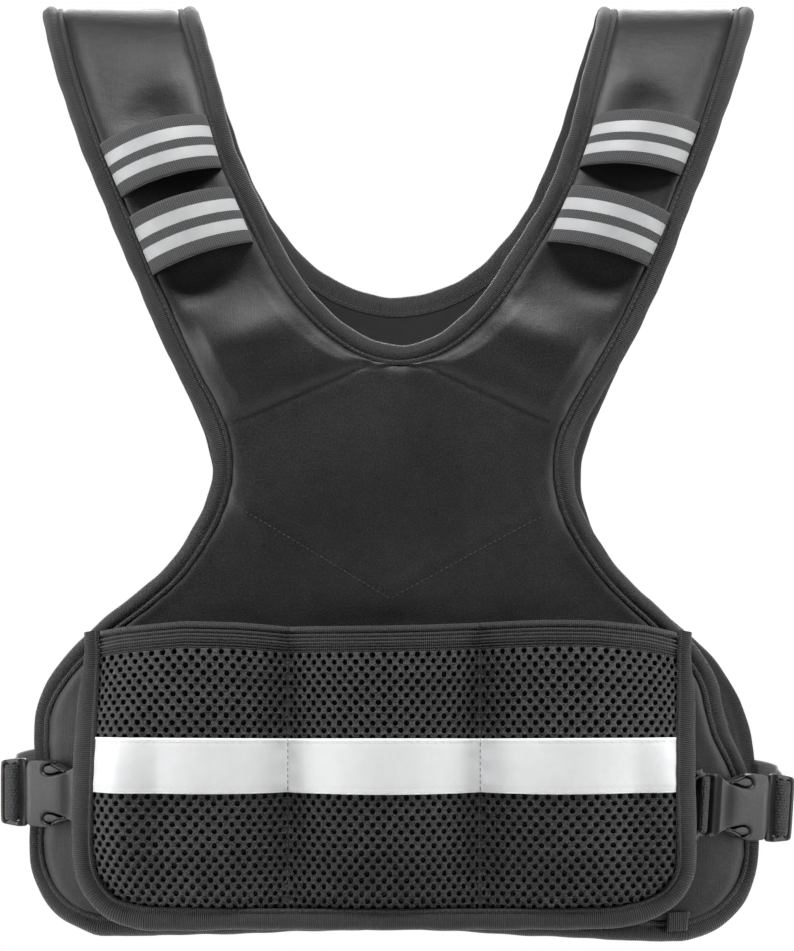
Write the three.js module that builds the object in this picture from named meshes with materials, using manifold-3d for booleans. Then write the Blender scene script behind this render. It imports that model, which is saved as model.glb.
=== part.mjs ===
// A padded vest with three weight pockets, in the form it has when worn.
// Millimetres. +Z is up, the front faces -Y, and +X is to the right as seen from the front.
// The origin lies midway between the two shoulder straps, at the top of their inner faces,
// so everything hangs below it.
import * as THREE from "three";
import Module from "manifold-3d";

// ---------- driving dimensions ----------
const ARCH_HEIGHT = 250; // from the arms' widest level up to the shoulder seam
const ARCH_DEPTH = 98; // from the mid plane to the front or back at that level
const BELLY_EXTRA = 12; // the front stands this much further forward at the pockets
const BACK_EXTRA = 4; // and the back this much further back
const HALF_WIDTH = { chest: 228, waist: 214 }; // of the body section that the panels follow
const SQUARENESS = { chest: 2.6, waist: 2.9 }; // exponent of that section's outline
const PANEL = 5; // padded neoprene
const GAP = 0.4; // between pieces that touch
const CENTRE_X = 1; // the front's centre line stands slightly off the mid plane
const SEAM_Y = 0.3; // half of the slit between front and back at the shoulder seam
const TAPE = { width: 9.8, over: 0.9 }; // edge tape: width past the panel's edge, swell past its faces
const MESH = 3; // air mesh
const ELASTIC = { thick: 3.4, top: -330.8, foot: -344.3 };
const STRIP = { thick: 0.8 };
const POCKET_TAPE = { width: 10.6, thick: 6.6, left: 12.4 };
const POCKET_CLEAR = 6.9; // the pocket panel's inner face over the panel's inner face at its rim
const POCKET_LIFT = 12; // extra clearance where the rim passes over a buckle
const SEAM_X = { left: -57, right: 43.5 }; // the two upright pocket seams
const BAND = { thick: 1.7, arch: 11, inset: 1.2 };
const WEB = { thick: 1.8, width: 30 };
const BUCKLE = { turn: 31.5, x: 179.6, y: -88.6, thick: 7.2, bar: 4.8 };

// ---------- tables ----------
// One row for each section across the front. ox, oz: the panel's outer edge; ix, iz: the neck edge,
// and from the foot of the neckline down the centre line.
const FRONT_LEFT = [
  { ox: -185.5, oz: 0, ix: -119.2, iz: 0 },
  { ox: -184.8, oz: -3, ix: -118, iz: -3 },
  { ox: -180, oz: -17.6, ix: -112.6, iz: -18.7 },
  { ox: -172.4, oz: -42, ix: -105.6, iz: -42.1 },
  { ox: -160, oz: -75.7, ix: -96.8, iz: -75.5 },
  { ox: -147.6, oz: -105.1, ix: -84, iz: -105.2 },
  { ox: -129.2, oz: -147.6, ix: -62.6, iz: -147 },
  { ox: -116.8, oz: -175.3, ix: -47.1, iz: -167.1 },
  { ox: -109.6, oz: -190.5, ix: -32.3, iz: -180.2 },
  { ox: -103.6, oz: -202.5, ix: -17, iz: -189 },
  { ox: -97, oz: -214.4, ix: CENTRE_X, iz: -192.6 },
  { ox: -91.9, oz: -227.1, ix: CENTRE_X, iz: -209.8 },
  { ox: -89.2, oz: -238, ix: CENTRE_X, iz: -226 },
  { ox: -88.6, oz: -250.8, ix: CENTRE_X, iz: -243.9 },
  { ox: -90.9, oz: -264.2, ix: CENTRE_X, iz: -260 },
  { ox: -98, oz: -281.5, ix: CENTRE_X, iz: -278.6 },
  { ox: -113.4, oz: -304.8, ix: CENTRE_X, iz: -298.5 },
  { ox: -131.5, oz: -321.8, ix: CENTRE_X, iz: -315.5 },
  { ox: -150.5, oz: -336.6, ix: CENTRE_X, iz: -330 },
  { ox: -167.7, oz: -353.4, ix: CENTRE_X, iz: -347.3 },
  { ox: -178.2, oz: -367.2, ix: CENTRE_X, iz: -365.7 },
  { ox: -183.6, oz: -379.7, ix: CENTRE_X, iz: -378.7 },
  { ox: -184.6, oz: -392.4, ix: CENTRE_X, iz: -391.8 },
  { ox: -184.4, oz: -408, ix: CENTRE_X, iz: -405 },
  { ox: -186.1, oz: -428, ix: CENTRE_X, iz: -424 },
  { ox: -187.4, oz: -451, ix: CENTRE_X, iz: -447 },
  { ox: -183.2, oz: -468.1, ix: CENTRE_X, iz: -462 },
  { ox: -173, oz: -480.3, ix: CENTRE_X, iz: -473 },
  { ox: -156.8, oz: -487, ix: CENTRE_X, iz: -481.5 },
];
const FRONT_RIGHT = [
  { ox: 187.2, oz: 0, ix: 120.4, iz: 0 },
  { ox: 186.2, oz: -3, ix: 119.4, iz: -3 },
  { ox: 181, oz: -17.5, ix: 115, iz: -18.7 },
  { ox: 173.6, oz: -38.1, ix: 108.7, iz: -42.1 },
  { ox: 162.2, oz: -70.2, ix: 100, iz: -75.5 },
  { ox: 151.4, oz: -96.9, ix: 87.4, iz: -107.4 },
  { ox: 134.6, oz: -139, ix: 62.6, iz: -147.6 },
  { ox: 121.6, oz: -167.3, ix: 49.2, iz: -166 },
  { ox: 109.8, oz: -188.5, ix: 34.4, iz: -180.2 },
  { ox: 101.6, oz: -202.4, ix: 19, iz: -189 },
  { ox: 93.6, oz: -216, ix: CENTRE_X, iz: -192.6 },
  { ox: 87.4, oz: -229.2, ix: CENTRE_X, iz: -209.8 },
  { ox: 84.6, oz: -241.8, ix: CENTRE_X, iz: -226 },
  { ox: 84.7, oz: -255.6, ix: CENTRE_X, iz: -243.9 },
  { ox: 87.5, oz: -269.6, ix: CENTRE_X, iz: -260 },
  { ox: 93.8, oz: -283.5, ix: CENTRE_X, iz: -278.6 },
  { ox: 104.6, oz: -300.6, ix: CENTRE_X, iz: -298.5 },
  { ox: 117.6, oz: -316, ix: CENTRE_X, iz: -315.5 },
  { ox: 134.6, oz: -332, ix: CENTRE_X, iz: -330 },
  { ox: 152.6, oz: -350.6, ix: CENTRE_X, iz: -347.3 },
  { ox: 160.6, oz: -364.2, ix: CENTRE_X, iz: -365.7 },
  { ox: 163.6, oz: -377, ix: CENTRE_X, iz: -378.7 },
  { ox: 167.4, oz: -391, ix: CENTRE_X, iz: -391.8 },
  { ox: 175, oz: -407, ix: CENTRE_X, iz: -405 },
  { ox: 181.6, oz: -427, ix: CENTRE_X, iz: -424 },
  { ox: 184, oz: -452, ix: CENTRE_X, iz: -447 },
  { ox: 179.4, oz: -470.4, ix: CENTRE_X, iz: -462 },
  { ox: 167.4, oz: -483.6, ix: CENTRE_X, iz: -473 },
  { ox: 150.5, oz: -490, ix: CENTRE_X, iz: -481.5 },
];
// The back's right half; the left half mirrors it.
const BACK_HALF = [
  { ox: 186, oz: 0, ix: 119.8, iz: 0 },
  { ox: 185.6, oz: -1.4, ix: 119.4, iz: -1.4 },
  { ox: 184, oz: -7, ix: 117.8, iz: -7 },
  { ox: 181, oz: -18, ix: 114, iz: -19 },
  { ox: 173, oz: -42, ix: 107, iz: -43 },
  { ox: 161, oz: -76, ix: 96, iz: -76 },
  { ox: 149, oz: -110, ix: 80, iz: -109 },
  { ox: 136, oz: -142, ix: 60.5, iz: -133.6 },
  { ox: 124, oz: -172, ix: 43.5, iz: -147 },
  { ox: 113, oz: -197, ix: 23, iz: -156.4 },
  { ox: 103.6, oz: -219, ix: 0, iz: -160 },
  { ox: 96.4, oz: -244, ix: 0, iz: -200 },
  { ox: 96.6, oz: -266, ix: 0, iz: -250 },
  { ox: 106, oz: -292, ix: 0, iz: -285 },
  { ox: 122, oz: -316, ix: 0, iz: -312 },
  { ox: 148, oz: -340, ix: 0, iz: -338 },
  { ox: 172, oz: -362, ix: 0, iz: -361 },
  { ox: 184.5, oz: -382, ix: 0, iz: -383 },
  { ox: 191, oz: -402, ix: 0, iz: -402 },
  { ox: 193.5, oz: -424, ix: 0, iz: -424 },
  { ox: 191, oz: -448, ix: 0, iz: -446 },
  { ox: 183, oz: -466, ix: 0, iz: -461 },
  { ox: 168, oz: -479, ix: 0, iz: -472 },
  { ox: 150, oz: -484, ix: 0, iz: -480 },
];
// Hollows (depth < 0) and swellings of the front's outer face, each a soft round spot.
const SPOTS = [
  { x: -134, z: -56, radius: 15, depth: -3.2 },
  { x: -98, z: -149, radius: 15, depth: -2.6 },
  { x: 137, z: -54, radius: 15, depth: -3.2 },
  { x: 99, z: -147, radius: 15, depth: -2.6 },
  { x: -92, z: -176, radius: 22, depth: 2.4 },
  { x: 88, z: -176, radius: 22, depth: 2.2 },
];
// One row for each level of the pocket panel. x: its left and right edge, bulge: how far each
// pocket stands out at its middle.
const POCKET = [
  { z: -344.7, left: -154.4, right: 145.8, bulge: 14 },
  { z: -358, left: -154.8, right: 145.6, bulge: 17 },
  { z: -374, left: -155.3, right: 145.4, bulge: 18 },
  { z: -391, left: -156, right: 145, bulge: 20 },
  { z: -418.6, left: -157, right: 145.3, bulge: 21 },
  { z: -448, left: -157.5, right: 145.9, bulge: 17.5 },
  { z: -461, left: -156.2, right: 145.2, bulge: 13 },
  { z: -471, left: -151.5, right: 139.5, bulge: 8.5 },
  { z: -477.5, left: -144, right: 128, bulge: 4 },
  { z: -480.7, left: -130, right: 112, bulge: 0.6 },
];
const STRIP_ROWS = { top: 3, foot: 4 }; // the reflective strip lies between these levels
const MOUTH_BULGE = 13; // of the elastic's top edge
// One row for each shoulder band. At its outer and its inner end: where the top and the foot
// of the band meet the strap.
const BANDS = [
  { name: "left_upper", otx: -159.6, otz: -76.4, ofx: -147.2, ofz: -104.8, itx: -101.2, itz: -60.6, ifx: -92.4, ifz: -89 },
  { name: "left_lower", otx: -142.8, otz: -115.6, ofx: -130, ofz: -146.4, itx: -87.8, itz: -99.4, ifx: -75.4, ifz: -128.6 },
  { name: "right_upper", otx: 163, otz: -64.6, ofx: 152, ofz: -92.6, itx: 106, itz: -60.6, ifx: 96.2, ifz: -88.6 },
  { name: "right_lower", otx: 146, otz: -114, ofx: 133.6, ofz: -141.6, itx: 92, itz: -98.6, ifx: 78.6, ifz: -128.6 },
];
// Outline of the buckle's socket half from its webbing bar (l < 0) to its mouth, upper half only.
const SOCKET = [
  { l: -27.4, h: 17.4 }, { l: -26, h: 18.5 }, { l: -17.6, h: 18.2 }, { l: -13, h: 15.6 },
  { l: -8.5, h: 15 }, { l: -3.6, h: 15.8 }, { l: 0.4, h: 18.4 }, { l: 4, h: 19.6 },
  { l: 15.4, h: 19.5 }, { l: 18.2, h: 17.4 }, { l: 20.8, h: 9.6 }, { l: 21.4, h: 0 },
];
const SOCKET_SLOT = { from: -24, to: -17, half: 15.9 };
const SOCKET_WINDOW = { from: -4, to: 5.8, low: 10.6, high: 15.1 };
// Outline of the plug half's frame, upper half only, and its two slots.
const PLUG = [
  { l: 19.6, h: 17.6 }, { l: 21.6, h: 18.2 }, { l: 33.4, h: 17.2 }, { l: 35, h: 15.6 }, { l: 35, h: 0 },
];
const PLUG_MOUTH = [{ l: 21.9, h: 9.8 }, { l: 22.3, h: 0 }]; // its inner edge follows the socket's mouth
const PLUG_SLOTS = [{ from: 23.4, to: 26.4 }, { from: 30, to: 32.6 }];
const BUCKLES = [
  { name: "left", side: -1, z: -421.4, roll: 0 },
  { name: "right", side: 1, z: -428, roll: -4.5 },
];

// ---------- the body form that every soft piece follows ----------
const smooth = (t) => { const c = Math.min(1, Math.max(0, t)); return c * c * (3 - 2 * c); };
const mix = (a, b, t) => a + (b - a) * t;
// Height runs as an angle over the shoulder arch, and as a length below it.
const levelOf = (z) => z > -ARCH_HEIGHT
  ? Math.min(Math.asin(Math.min(1, (z + ARCH_HEIGHT) / ARCH_HEIGHT)), Math.acos(SEAM_Y / ARCH_DEPTH / 0.68))
  : (z + ARCH_HEIGHT) / ARCH_HEIGHT;
const heightOf = (s) => (s > 0 ? ARCH_HEIGHT * (Math.sin(s) - 1) : ARCH_HEIGHT * (s - 1));
function form(x, s, side) {
  const z = heightOf(s), w = smooth((30 - ARCH_HEIGHT - z) / 110);
  const half = mix(HALF_WIDTH.chest, HALF_WIDTH.waist, w), n = mix(SQUARENESS.chest, SQUARENESS.waist, w);
  const deep = s > 0 ? ARCH_DEPTH * Math.cos(s)
    : ARCH_DEPTH + (side < 0 ? BELLY_EXTRA : BACK_EXTRA) * smooth((-s * ARCH_HEIGHT) / 170);
  const across = Math.pow(Math.max(1e-6, 1 - Math.pow(Math.abs(x) / half, n)), 1 / n);
  return new THREE.Vector3(x, side * deep * across, z);
}
function outward(x, s, side) {
  const e = 1e-3;
  const dx = form(x + 0.2, s, side).sub(form(x - 0.2, s, side));
  const ds = form(x, s + e, side).sub(form(x, s - e, side));
  const n = dx.cross(ds).normalize();
  const lean = Math.max(0, s);
  return n.dot(new THREE.Vector3(0, side * Math.cos(lean), Math.sin(lean))) < 0 ? n.negate() : n;
}
// The point that stands `off` outside the body form at (x, z).
function at(x, z, off, side = -1) {
  const s = levelOf(z);
  return form(x, s, side).addScaledVector(outward(x, s, side), off);
}
// Front pieces end just before the shoulder seam's plane and back pieces just behind it.
function onSide(p, side) {
  p.y = side < 0 ? Math.min(p.y, -SEAM_Y) : Math.max(p.y, SEAM_Y);
  return p;
}
const spotAt = (x, z) => SPOTS.reduce((sum, p) => {
  const r = Math.hypot(x - p.x, z - p.z) / p.radius;
  return sum + p.depth * Math.exp(-r * r);
}, 0);

// ---------- building closed meshes ----------
class Body {
  constructor() { this.points = []; this.seen = new Map(); this.faces = []; }
  add(p) {
    const key = [p.x, p.y, p.z].map((c) => Math.round(c * 1000)).join();
    if (!this.seen.has(key)) { this.seen.set(key, this.points.length); this.points.push(p.clone()); }
    return this.seen.get(key);
  }
  tri(a, b, c) {
    const f = [this.add(a), this.add(b), this.add(c)];
    if (f[0] !== f[1] && f[1] !== f[2] && f[0] !== f[2]) this.faces.push(f);
  }
  quad(a, b, c, d) { this.tri(a, b, c); this.tri(a, c, d); }
  geometry() {
    let volume = 0;
    for (const [a, b, c] of this.faces)
      volume += this.points[a].dot(new THREE.Vector3().crossVectors(this.points[b], this.points[c]));
    const g = new THREE.BufferGeometry();
    g.setAttribute("position", new THREE.Float32BufferAttribute(this.points.flatMap((p) => [p.x, p.y, p.z]), 3));
    g.setIndex(this.faces.flatMap(([a, b, c]) => (volume < 0 ? [a, c, b] : [a, b, c])));
    g.computeVertexNormals();
    return g;
  }
}
// A wall between an outer and an inner grid of points, closed along its rim.
function addWall(body, outer, inner) {
  const rows = outer.length - 1, cols = outer[0].length - 1;
  for (let i = 0; i < rows; i++)
    for (let j = 0; j < cols; j++) {
      body.quad(outer[i][j], outer[i][j + 1], outer[i + 1][j + 1], outer[i + 1][j]);
      body.quad(inner[i][j], inner[i + 1][j], inner[i + 1][j + 1], inner[i][j + 1]);
    }
}
function addRim(body, outer, inner) {
  for (let k = 0; k < outer.length - 1; k++) body.quad(outer[k + 1], outer[k], inner[k], inner[k + 1]);
}
function wall(outer, inner) {
  const body = new Body(), last = outer.length - 1, edge = outer[0].length - 1;
  addWall(body, outer, inner);
  const column = (grid, j) => grid.map((row) => row[j]);
  addRim(body, outer[0], inner[0]);
  addRim(body, outer[last].slice().reverse(), inner[last].slice().reverse());
  addRim(body, column(outer, 0).reverse(), column(inner, 0).reverse());
  addRim(body, column(outer, edge), column(inner, edge));
  return body.geometry();
}
// A tape of constant section along stations {base, normal, away}; the section lists p across and q outward.
function tape(stations, section) {
  const body = new Body();
  const rings = stations.map((s, k) => section(k).map(({ p, q }) =>
    onSide(s.base.clone().addScaledVector(s.away, p).addScaledVector(s.normal, q), s.side)));
  for (let k = 0; k < rings.length - 1; k++)
    for (let i = 0; i < rings[k].length; i++) {
      const j = (i + 1) % rings[k].length;
      body.quad(rings[k][i], rings[k][j], rings[k + 1][j], rings[k + 1][i]);
    }
  for (const [ring, turn] of [[rings[0], 1], [rings[rings.length - 1], -1]])
    for (let i = 1; i < ring.length - 1; i++)
      if (turn > 0) body.tri(ring[0], ring[i + 1], ring[i]);
      else body.tri(ring[0], ring[i], ring[i + 1]);
  return body.geometry();
}
// Stations along a path of {x, z} on the form; turn says on which side of the path the tape lies.
function stationsAlong(path, side, turn) {
  const base = path.map(({ x, z }) => at(x, z, 0, side));
  return path.map(({ x, z }, k) => {
    const s = levelOf(z), normal = outward(x, s, side);
    const a = base[Math.max(0, k - 1)], b = base[Math.min(base.length - 1, k + 1)];
    const along = b.clone().sub(a).normalize();
    const away = along.cross(normal).normalize().multiplyScalar(-turn);
    return { base: base[k], normal, away, side };
  });
}
// Smooth rows between the rows of a table of sections.
function denser(table, steps) {
  const keys = Object.keys(table[0]), out = [];
  for (let k = 0; k < table.length - 1; k++)
    for (let i = 0; i < steps; i++) {
      const t = i / steps, row = {};
      for (const key of keys) {
        const p = [-1, 0, 1, 2].map((d) => table[Math.min(table.length - 1, Math.max(0, k + d))][key]);
        row[key] = 0.5 * (2 * p[1] + (p[2] - p[0]) * t + (2 * p[0] - 5 * p[1] + 4 * p[2] - p[3]) * t * t
          + (3 * p[1] - p[0] - 3 * p[2] + p[3]) * t * t * t);
      }
      out.push(row);
    }
  out.push({ ...table[table.length - 1] });
  return out;
}

// ---------- solids by joining and cutting ----------
const wasm = await Module();
wasm.setup();
function solid(geometry) {
  const g = geometry.index ? geometry.toNonIndexed() : geometry;
  const pos = g.getAttribute("position"), seen = new Map(), verts = [], tris = [];
  for (let i = 0; i < pos.count; i++) {
    const p = [pos.getX(i), pos.getY(i), pos.getZ(i)], key = p.map((c) => Math.round(c * 1e4)).join();
    if (!seen.has(key)) { seen.set(key, verts.length / 3); verts.push(...p); }
    tris.push(seen.get(key));
  }
  const kept = [];
  for (let i = 0; i < tris.length; i += 3)
    if (tris[i] !== tris[i + 1] && tris[i + 1] !== tris[i + 2] && tris[i] !== tris[i + 2]) kept.push(...tris.slice(i, i + 3));
  return new wasm.Manifold(new wasm.Mesh({ numProp: 3, vertProperties: new Float32Array(verts), triVerts: new Uint32Array(kept) }));
}
function fromSolid(s) {
  const m = s.getMesh(), n = m.numProp, v = [];
  for (let i = 0; i < m.numVert; i++) v.push(...m.vertProperties.subarray(i * n, i * n + 3));
  const g = new THREE.BufferGeometry();
  g.setAttribute("position", new THREE.Float32BufferAttribute(v, 3));
  g.setIndex([...m.triVerts]);
  g.computeVertexNormals();
  return g;
}
const plate = (points, low, high) => new THREE.ExtrudeGeometry(
  new THREE.Shape(points.map(([a, b]) => new THREE.Vector2(a, b))), { depth: high - low, bevelEnabled: false },
).translate(0, 0, low);
const rect = (a0, b0, a1, b1) => [[a0, b0], [a1, b0], [a1, b1], [a0, b1]];

// ---------- looks ----------
const LOOK = {
  neoprene: { color: 0x1d1d1f, roughness: 0.75, metalness: 0 },
  tape: { color: 0x2b2b2d, roughness: 0.6, metalness: 0 },
  mesh: { color: 0x2a2a2c, roughness: 0.85, metalness: 0 },
  elastic: { color: 0x48484a, roughness: 0.7, metalness: 0 },
  band: { color: 0x4a4a4c, roughness: 0.8, metalness: 0 },
  reflective: { color: 0xd9dadb, roughness: 0.45, metalness: 0.1 },
  plastic: { color: 0x57575a, roughness: 0.4, metalness: 0 },
  webbing: { color: 0x2f2f31, roughness: 0.7, metalness: 0 },
};
const vest = new THREE.Group();
function piece(name, geometry, look, parent = vest) {
  const mesh = new THREE.Mesh(geometry, new THREE.MeshStandardMaterial(LOOK[look]));
  mesh.name = name;
  parent.add(mesh);
  return mesh;
}

// ---------- panels ----------
const SHARES = [0, 0.12, 0.3, 0.52, 0.76, 1]; // columns of a half panel, from its outer edge inward
function halfGrid(rows, side, off) {
  return rows.map((r) => SHARES.map((t) => {
    const x = mix(r.ox, r.ix, t), z = mix(r.oz, r.iz, t), rim = Math.min(1, 6 * Math.min(t, 1 - (r.ix === r.cx ? 0 : t)));
    const swell = off > 0 && side < 0 ? spotAt(x, z) * Math.min(1, Math.max(0, rim)) : 0;
    return onSide(at(x, z, off + swell, side), side);
  }));
}
function panel(leftRows, rightRows, side, neckRows) {
  const body = new Body();
  for (const [rows, turn] of [[leftRows, 1], [rightRows, -1]]) {
    const outer = halfGrid(rows, side, PANEL), inner = halfGrid(rows, side, 0);
    const half = new Body(), end = SHARES.length - 1;
    addWall(half, outer, inner);
    addRim(half, outer[0], inner[0]);
    addRim(half, outer[rows.length - 1].slice().reverse(), inner[rows.length - 1].slice().reverse());
    addRim(half, outer.map((r) => r[0]).reverse(), inner.map((r) => r[0]).reverse());
    addRim(half, outer.slice(0, neckRows + 1).map((r) => r[end]), inner.slice(0, neckRows + 1).map((r) => r[end]));
    for (const f of half.faces) {
      const [a, b, c] = f.map((i) => half.points[i]);
      if (turn > 0) body.tri(a, b, c); else body.tri(a, c, b);
    }
  }
  return body.geometry();
}
const mirrored = (table) => table.map((r) => ({ ...r, ox: -r.ox, ix: -r.ix }));
const frontLeft = denser(FRONT_LEFT, 2), frontRight = denser(FRONT_RIGHT, 2);
const backRight = denser(BACK_HALF, 1), backLeft = mirrored(backRight);
// Below the neckline's foot both halves share the centre line, so they join there.
const FRONT_NECK = 20, BACK_NECK = 10;
for (const rows of [frontLeft, frontRight])
  rows.forEach((r, k) => { if (k >= FRONT_NECK) { r.ix = CENTRE_X; } });
frontRight.forEach((r, k) => { if (k >= FRONT_NECK) r.iz = frontLeft[k].iz; });
piece("front_panel", panel(frontLeft, frontRight, -1, FRONT_NECK), "neoprene");
piece("back_panel", panel(backLeft, backRight, 1, BACK_NECK), "neoprene");

// ---------- edge tapes ----------
const tapeSection = () => {
  const w = TAPE.width, o = TAPE.over;
  return [
    { p: GAP, q: -o * 0.6 }, { p: w - 2.2, q: -o }, { p: w, q: 1.4 },
    { p: w, q: PANEL - 1.4 }, { p: w - 2.2, q: PANEL + o }, { p: GAP, q: PANEL + o * 0.6 },
  ];
};
const outerPath = (rows) => rows.map((r) => ({ x: r.ox, z: r.oz }));
const innerPath = (rows, count) => rows.slice(0, count + 1).map((r) => ({ x: r.ix, z: r.iz }));
function hemPath(rows, stopX) {
  // the panel's last row, from its outer edge to the stop
  const r = rows[rows.length - 1];
  return SHARES.slice(1).map((t) => ({ x: mix(r.ox, r.ix, t), z: mix(r.oz, r.iz, t) }))
    .map((p, k, all) => (k === all.length - 1 ? { x: stopX, z: p.z } : p));
}
const edge = (rows, side, sign, stopX) => tape(stationsAlong([...outerPath(rows), ...hemPath(rows, stopX)], side, sign), tapeSection);
piece("edge_binding_front_left", edge(frontLeft, -1, -1, CENTRE_X - 1), "tape");
piece("edge_binding_front_right", edge(frontRight, -1, 1, CENTRE_X + 1), "tape");
piece("edge_binding_back_left", edge(backLeft, 1, 1, -0.6), "tape");
piece("edge_binding_back_right", edge(backRight, 1, -1, 0.6), "tape");
const neckPath = (left, right, count) => [...innerPath(left, count), ...innerPath(right, count - 1).reverse()];
piece("neck_binding_front", tape(stationsAlong(neckPath(frontLeft, frontRight, FRONT_NECK), -1, 1), tapeSection), "tape");
piece("neck_binding_back", tape(stationsAlong(neckPath(backLeft, backRight, BACK_NECK), 1, -1), tapeSection), "tape");

// ---------- pockets ----------
const LOBE = [0, 0.07, 0.18, 0.34, 0.5, 0.66, 0.82, 0.93, 1]; // columns of one pocket
const overBuckle = (x, z) => {
  const b = BUCKLES[x < 0 ? 0 : 1], r = (z - b.z) / 38;
  return POCKET_LIFT * smooth((Math.abs(x) - 118) / 24) * Math.exp(-Math.pow(Math.abs(r), 3));
};
const clearAt = (x, z) => POCKET_CLEAR
  - 1.4 * smooth((140 - Math.abs(x)) / 25) * smooth((-350 - z) / 15) * smooth((z + 472) / 12) + overBuckle(x, z);
function pocketGrid(levels, extra) {
  return levels.map((r) => {
    const row = [], ends = [r.left, SEAM_X.left, SEAM_X.right, r.right];
    for (let k = 0; k < 3; k++)
      LOBE.forEach((t, i) => {
        if (k > 0 && i === 0) return;
        const x = mix(ends[k], ends[k + 1], t);
        row.push(at(x, r.z, clearAt(x, r.z) + r.bulge * Math.pow(Math.sin(Math.PI * t), 0.75) + extra));
      });
    return row;
  });
}
piece("pocket_mesh", wall(pocketGrid(POCKET, MESH), pocketGrid(POCKET, 0)), "mesh");
const mouth = [
  { z: ELASTIC.top, left: POCKET[0].left, right: POCKET[0].right, bulge: MOUTH_BULGE },
  { z: ELASTIC.foot, left: POCKET[0].left, right: POCKET[0].right, bulge: POCKET[0].bulge },
];
piece("pocket_elastic", wall(pocketGrid(mouth, ELASTIC.thick), pocketGrid(mouth, 0)), "elastic");
const stripLevels = POCKET.slice(STRIP_ROWS.top, STRIP_ROWS.foot + 1).map((r) => ({ ...r, left: r.left + 0.01 }));
piece("reflective_strip", wall(pocketGrid(stripLevels, MESH + GAP + STRIP.thick), pocketGrid(stripLevels, MESH + GAP)), "reflective");
const foot = POCKET[POCKET.length - 1];
const footPath = [];
for (const [a, b] of [[foot.left, SEAM_X.left], [SEAM_X.left, SEAM_X.right], [SEAM_X.right, foot.right]])
  for (const t of [0, 0.18, 0.5, 0.82]) footPath.push({ x: mix(a, b, t), z: foot.z });
footPath.shift();
const rimPath = [
  { x: mouth[0].left - 1.4, z: ELASTIC.top - 2 },
  ...POCKET.map((r) => ({ x: r.left, z: r.z })), ...footPath,
  ...POCKET.map((r) => ({ x: r.right, z: r.z })).reverse(),
  { x: mouth[0].right + 1.4, z: ELASTIC.top - 2 },
];
const pocketTapeSection = (k) => {
  const { x, z } = rimPath[k], lift = clearAt(x, z) + (z > -470 ? 0.2 : 0);
  const w = x < -100 ? POCKET_TAPE.left : POCKET_TAPE.width, t = POCKET_TAPE.thick;
  return [
    { p: GAP, q: lift }, { p: w - 2.4, q: lift }, { p: w, q: lift + 1.8 },
    { p: w, q: lift + t - 2 }, { p: w - 2.4, q: lift + t }, { p: GAP, q: lift + t * 0.9 },
  ];
};
piece("pocket_binding", tape(stationsAlong(rimPath, -1, -1), pocketTapeSection), "tape");

// ---------- shoulder bands ----------
for (const b of BANDS) {
  const steps = 12, layers = [0, 0.5, 1];
  const grid = (extra) => layers.map((w) => Array.from({ length: steps + 1 }, (_, i) => {
    const t = i / steps;
    const ox = mix(b.otx, b.ofx, w), oz = mix(b.otz, b.ofz, w), ix = mix(b.itx, b.ifx, w), iz = mix(b.itz, b.ifz, w);
    const inset = BAND.inset / Math.hypot(ox - ix, oz - iz), u = mix(inset, 1 - inset, t);
    return at(mix(ox, ix, u), mix(oz, iz, u), PANEL + 1.1 + BAND.arch * Math.pow(Math.sin(Math.PI * t), 0.8) + extra);
  }));
  piece("shoulder_band_" + b.name, wall(grid(BAND.thick), grid(0)), "band");
}

// ---------- buckles and their webbing ----------
const upper = (rows) => rows.map((r) => [r.l, r.h]);
const closedOutline = (rows) => {
  const up = upper(rows), down = up.filter(([, h]) => h > 0).map(([l, h]) => [l, -h]).reverse();
  return [...up, ...down];
};
const signedArea = (pts) => pts.reduce((sum, [a, b], i) => {
  const [c, d] = pts[(i + 1) % pts.length];
  return sum + a * d - b * c;
}, 0);
const facing = (pts) => (signedArea(pts) < 0 ? pts.slice().reverse() : pts);
function socketHalf() {
  const T = BUCKLE.thick;
  let s = solid(plate(facing(closedOutline(SOCKET)), 0, T));
  // the webbing bar end is thinner
  s = s.subtract(solid(plate(rect(-30, -25, -14.5, 25), BUCKLE.bar, T + 1)));
  s = s.subtract(solid(plate(rect(SOCKET_SLOT.from, -SOCKET_SLOT.half, SOCKET_SLOT.to, SOCKET_SLOT.half), -1, T + 1)));
  for (const sign of [-1, 1]) {
    const w = SOCKET_WINDOW, a = sign > 0 ? w.low : -w.high, b = sign > 0 ? w.high : -w.low;
    s = s.subtract(solid(plate(rect(w.from, a, w.to, b), -1, T + 1)));
  }
  // a chamfer along the mouth's top edge
  s = s.subtract(solid(new THREE.BoxGeometry(8, 44, 4).rotateY(THREE.MathUtils.degToRad(24)).translate(21.6, 0, T + 1)));
  return s;
}
function plugHalf() {
  const T = BUCKLE.thick - 1.2, low = 0.6;
  const ring = [...PLUG, ...PLUG_MOUTH.slice().reverse().filter((r) => r.h > 0)];
  const top = [...upper(PLUG)], mouthEdge = [[22, 9.9], [22.4, 0], [22, -9.9], [19.6, -17.6]];
  const points = [...top.slice(0, -1), [35, -15.6], [33.4, -17.2], [21.6, -18.2], mouthEdge[3], mouthEdge[2], mouthEdge[1], mouthEdge[0]];
  let s = solid(plate(facing(points), low, low + T - 1.4));
  for (const w of PLUG_SLOTS) s = s.subtract(solid(plate(rect(w.from, -15.4, w.to, 15.4), -1, T + 2)));
  return s;
}
const socketSolid = socketHalf(), plugSolid = plugHalf();
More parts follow.
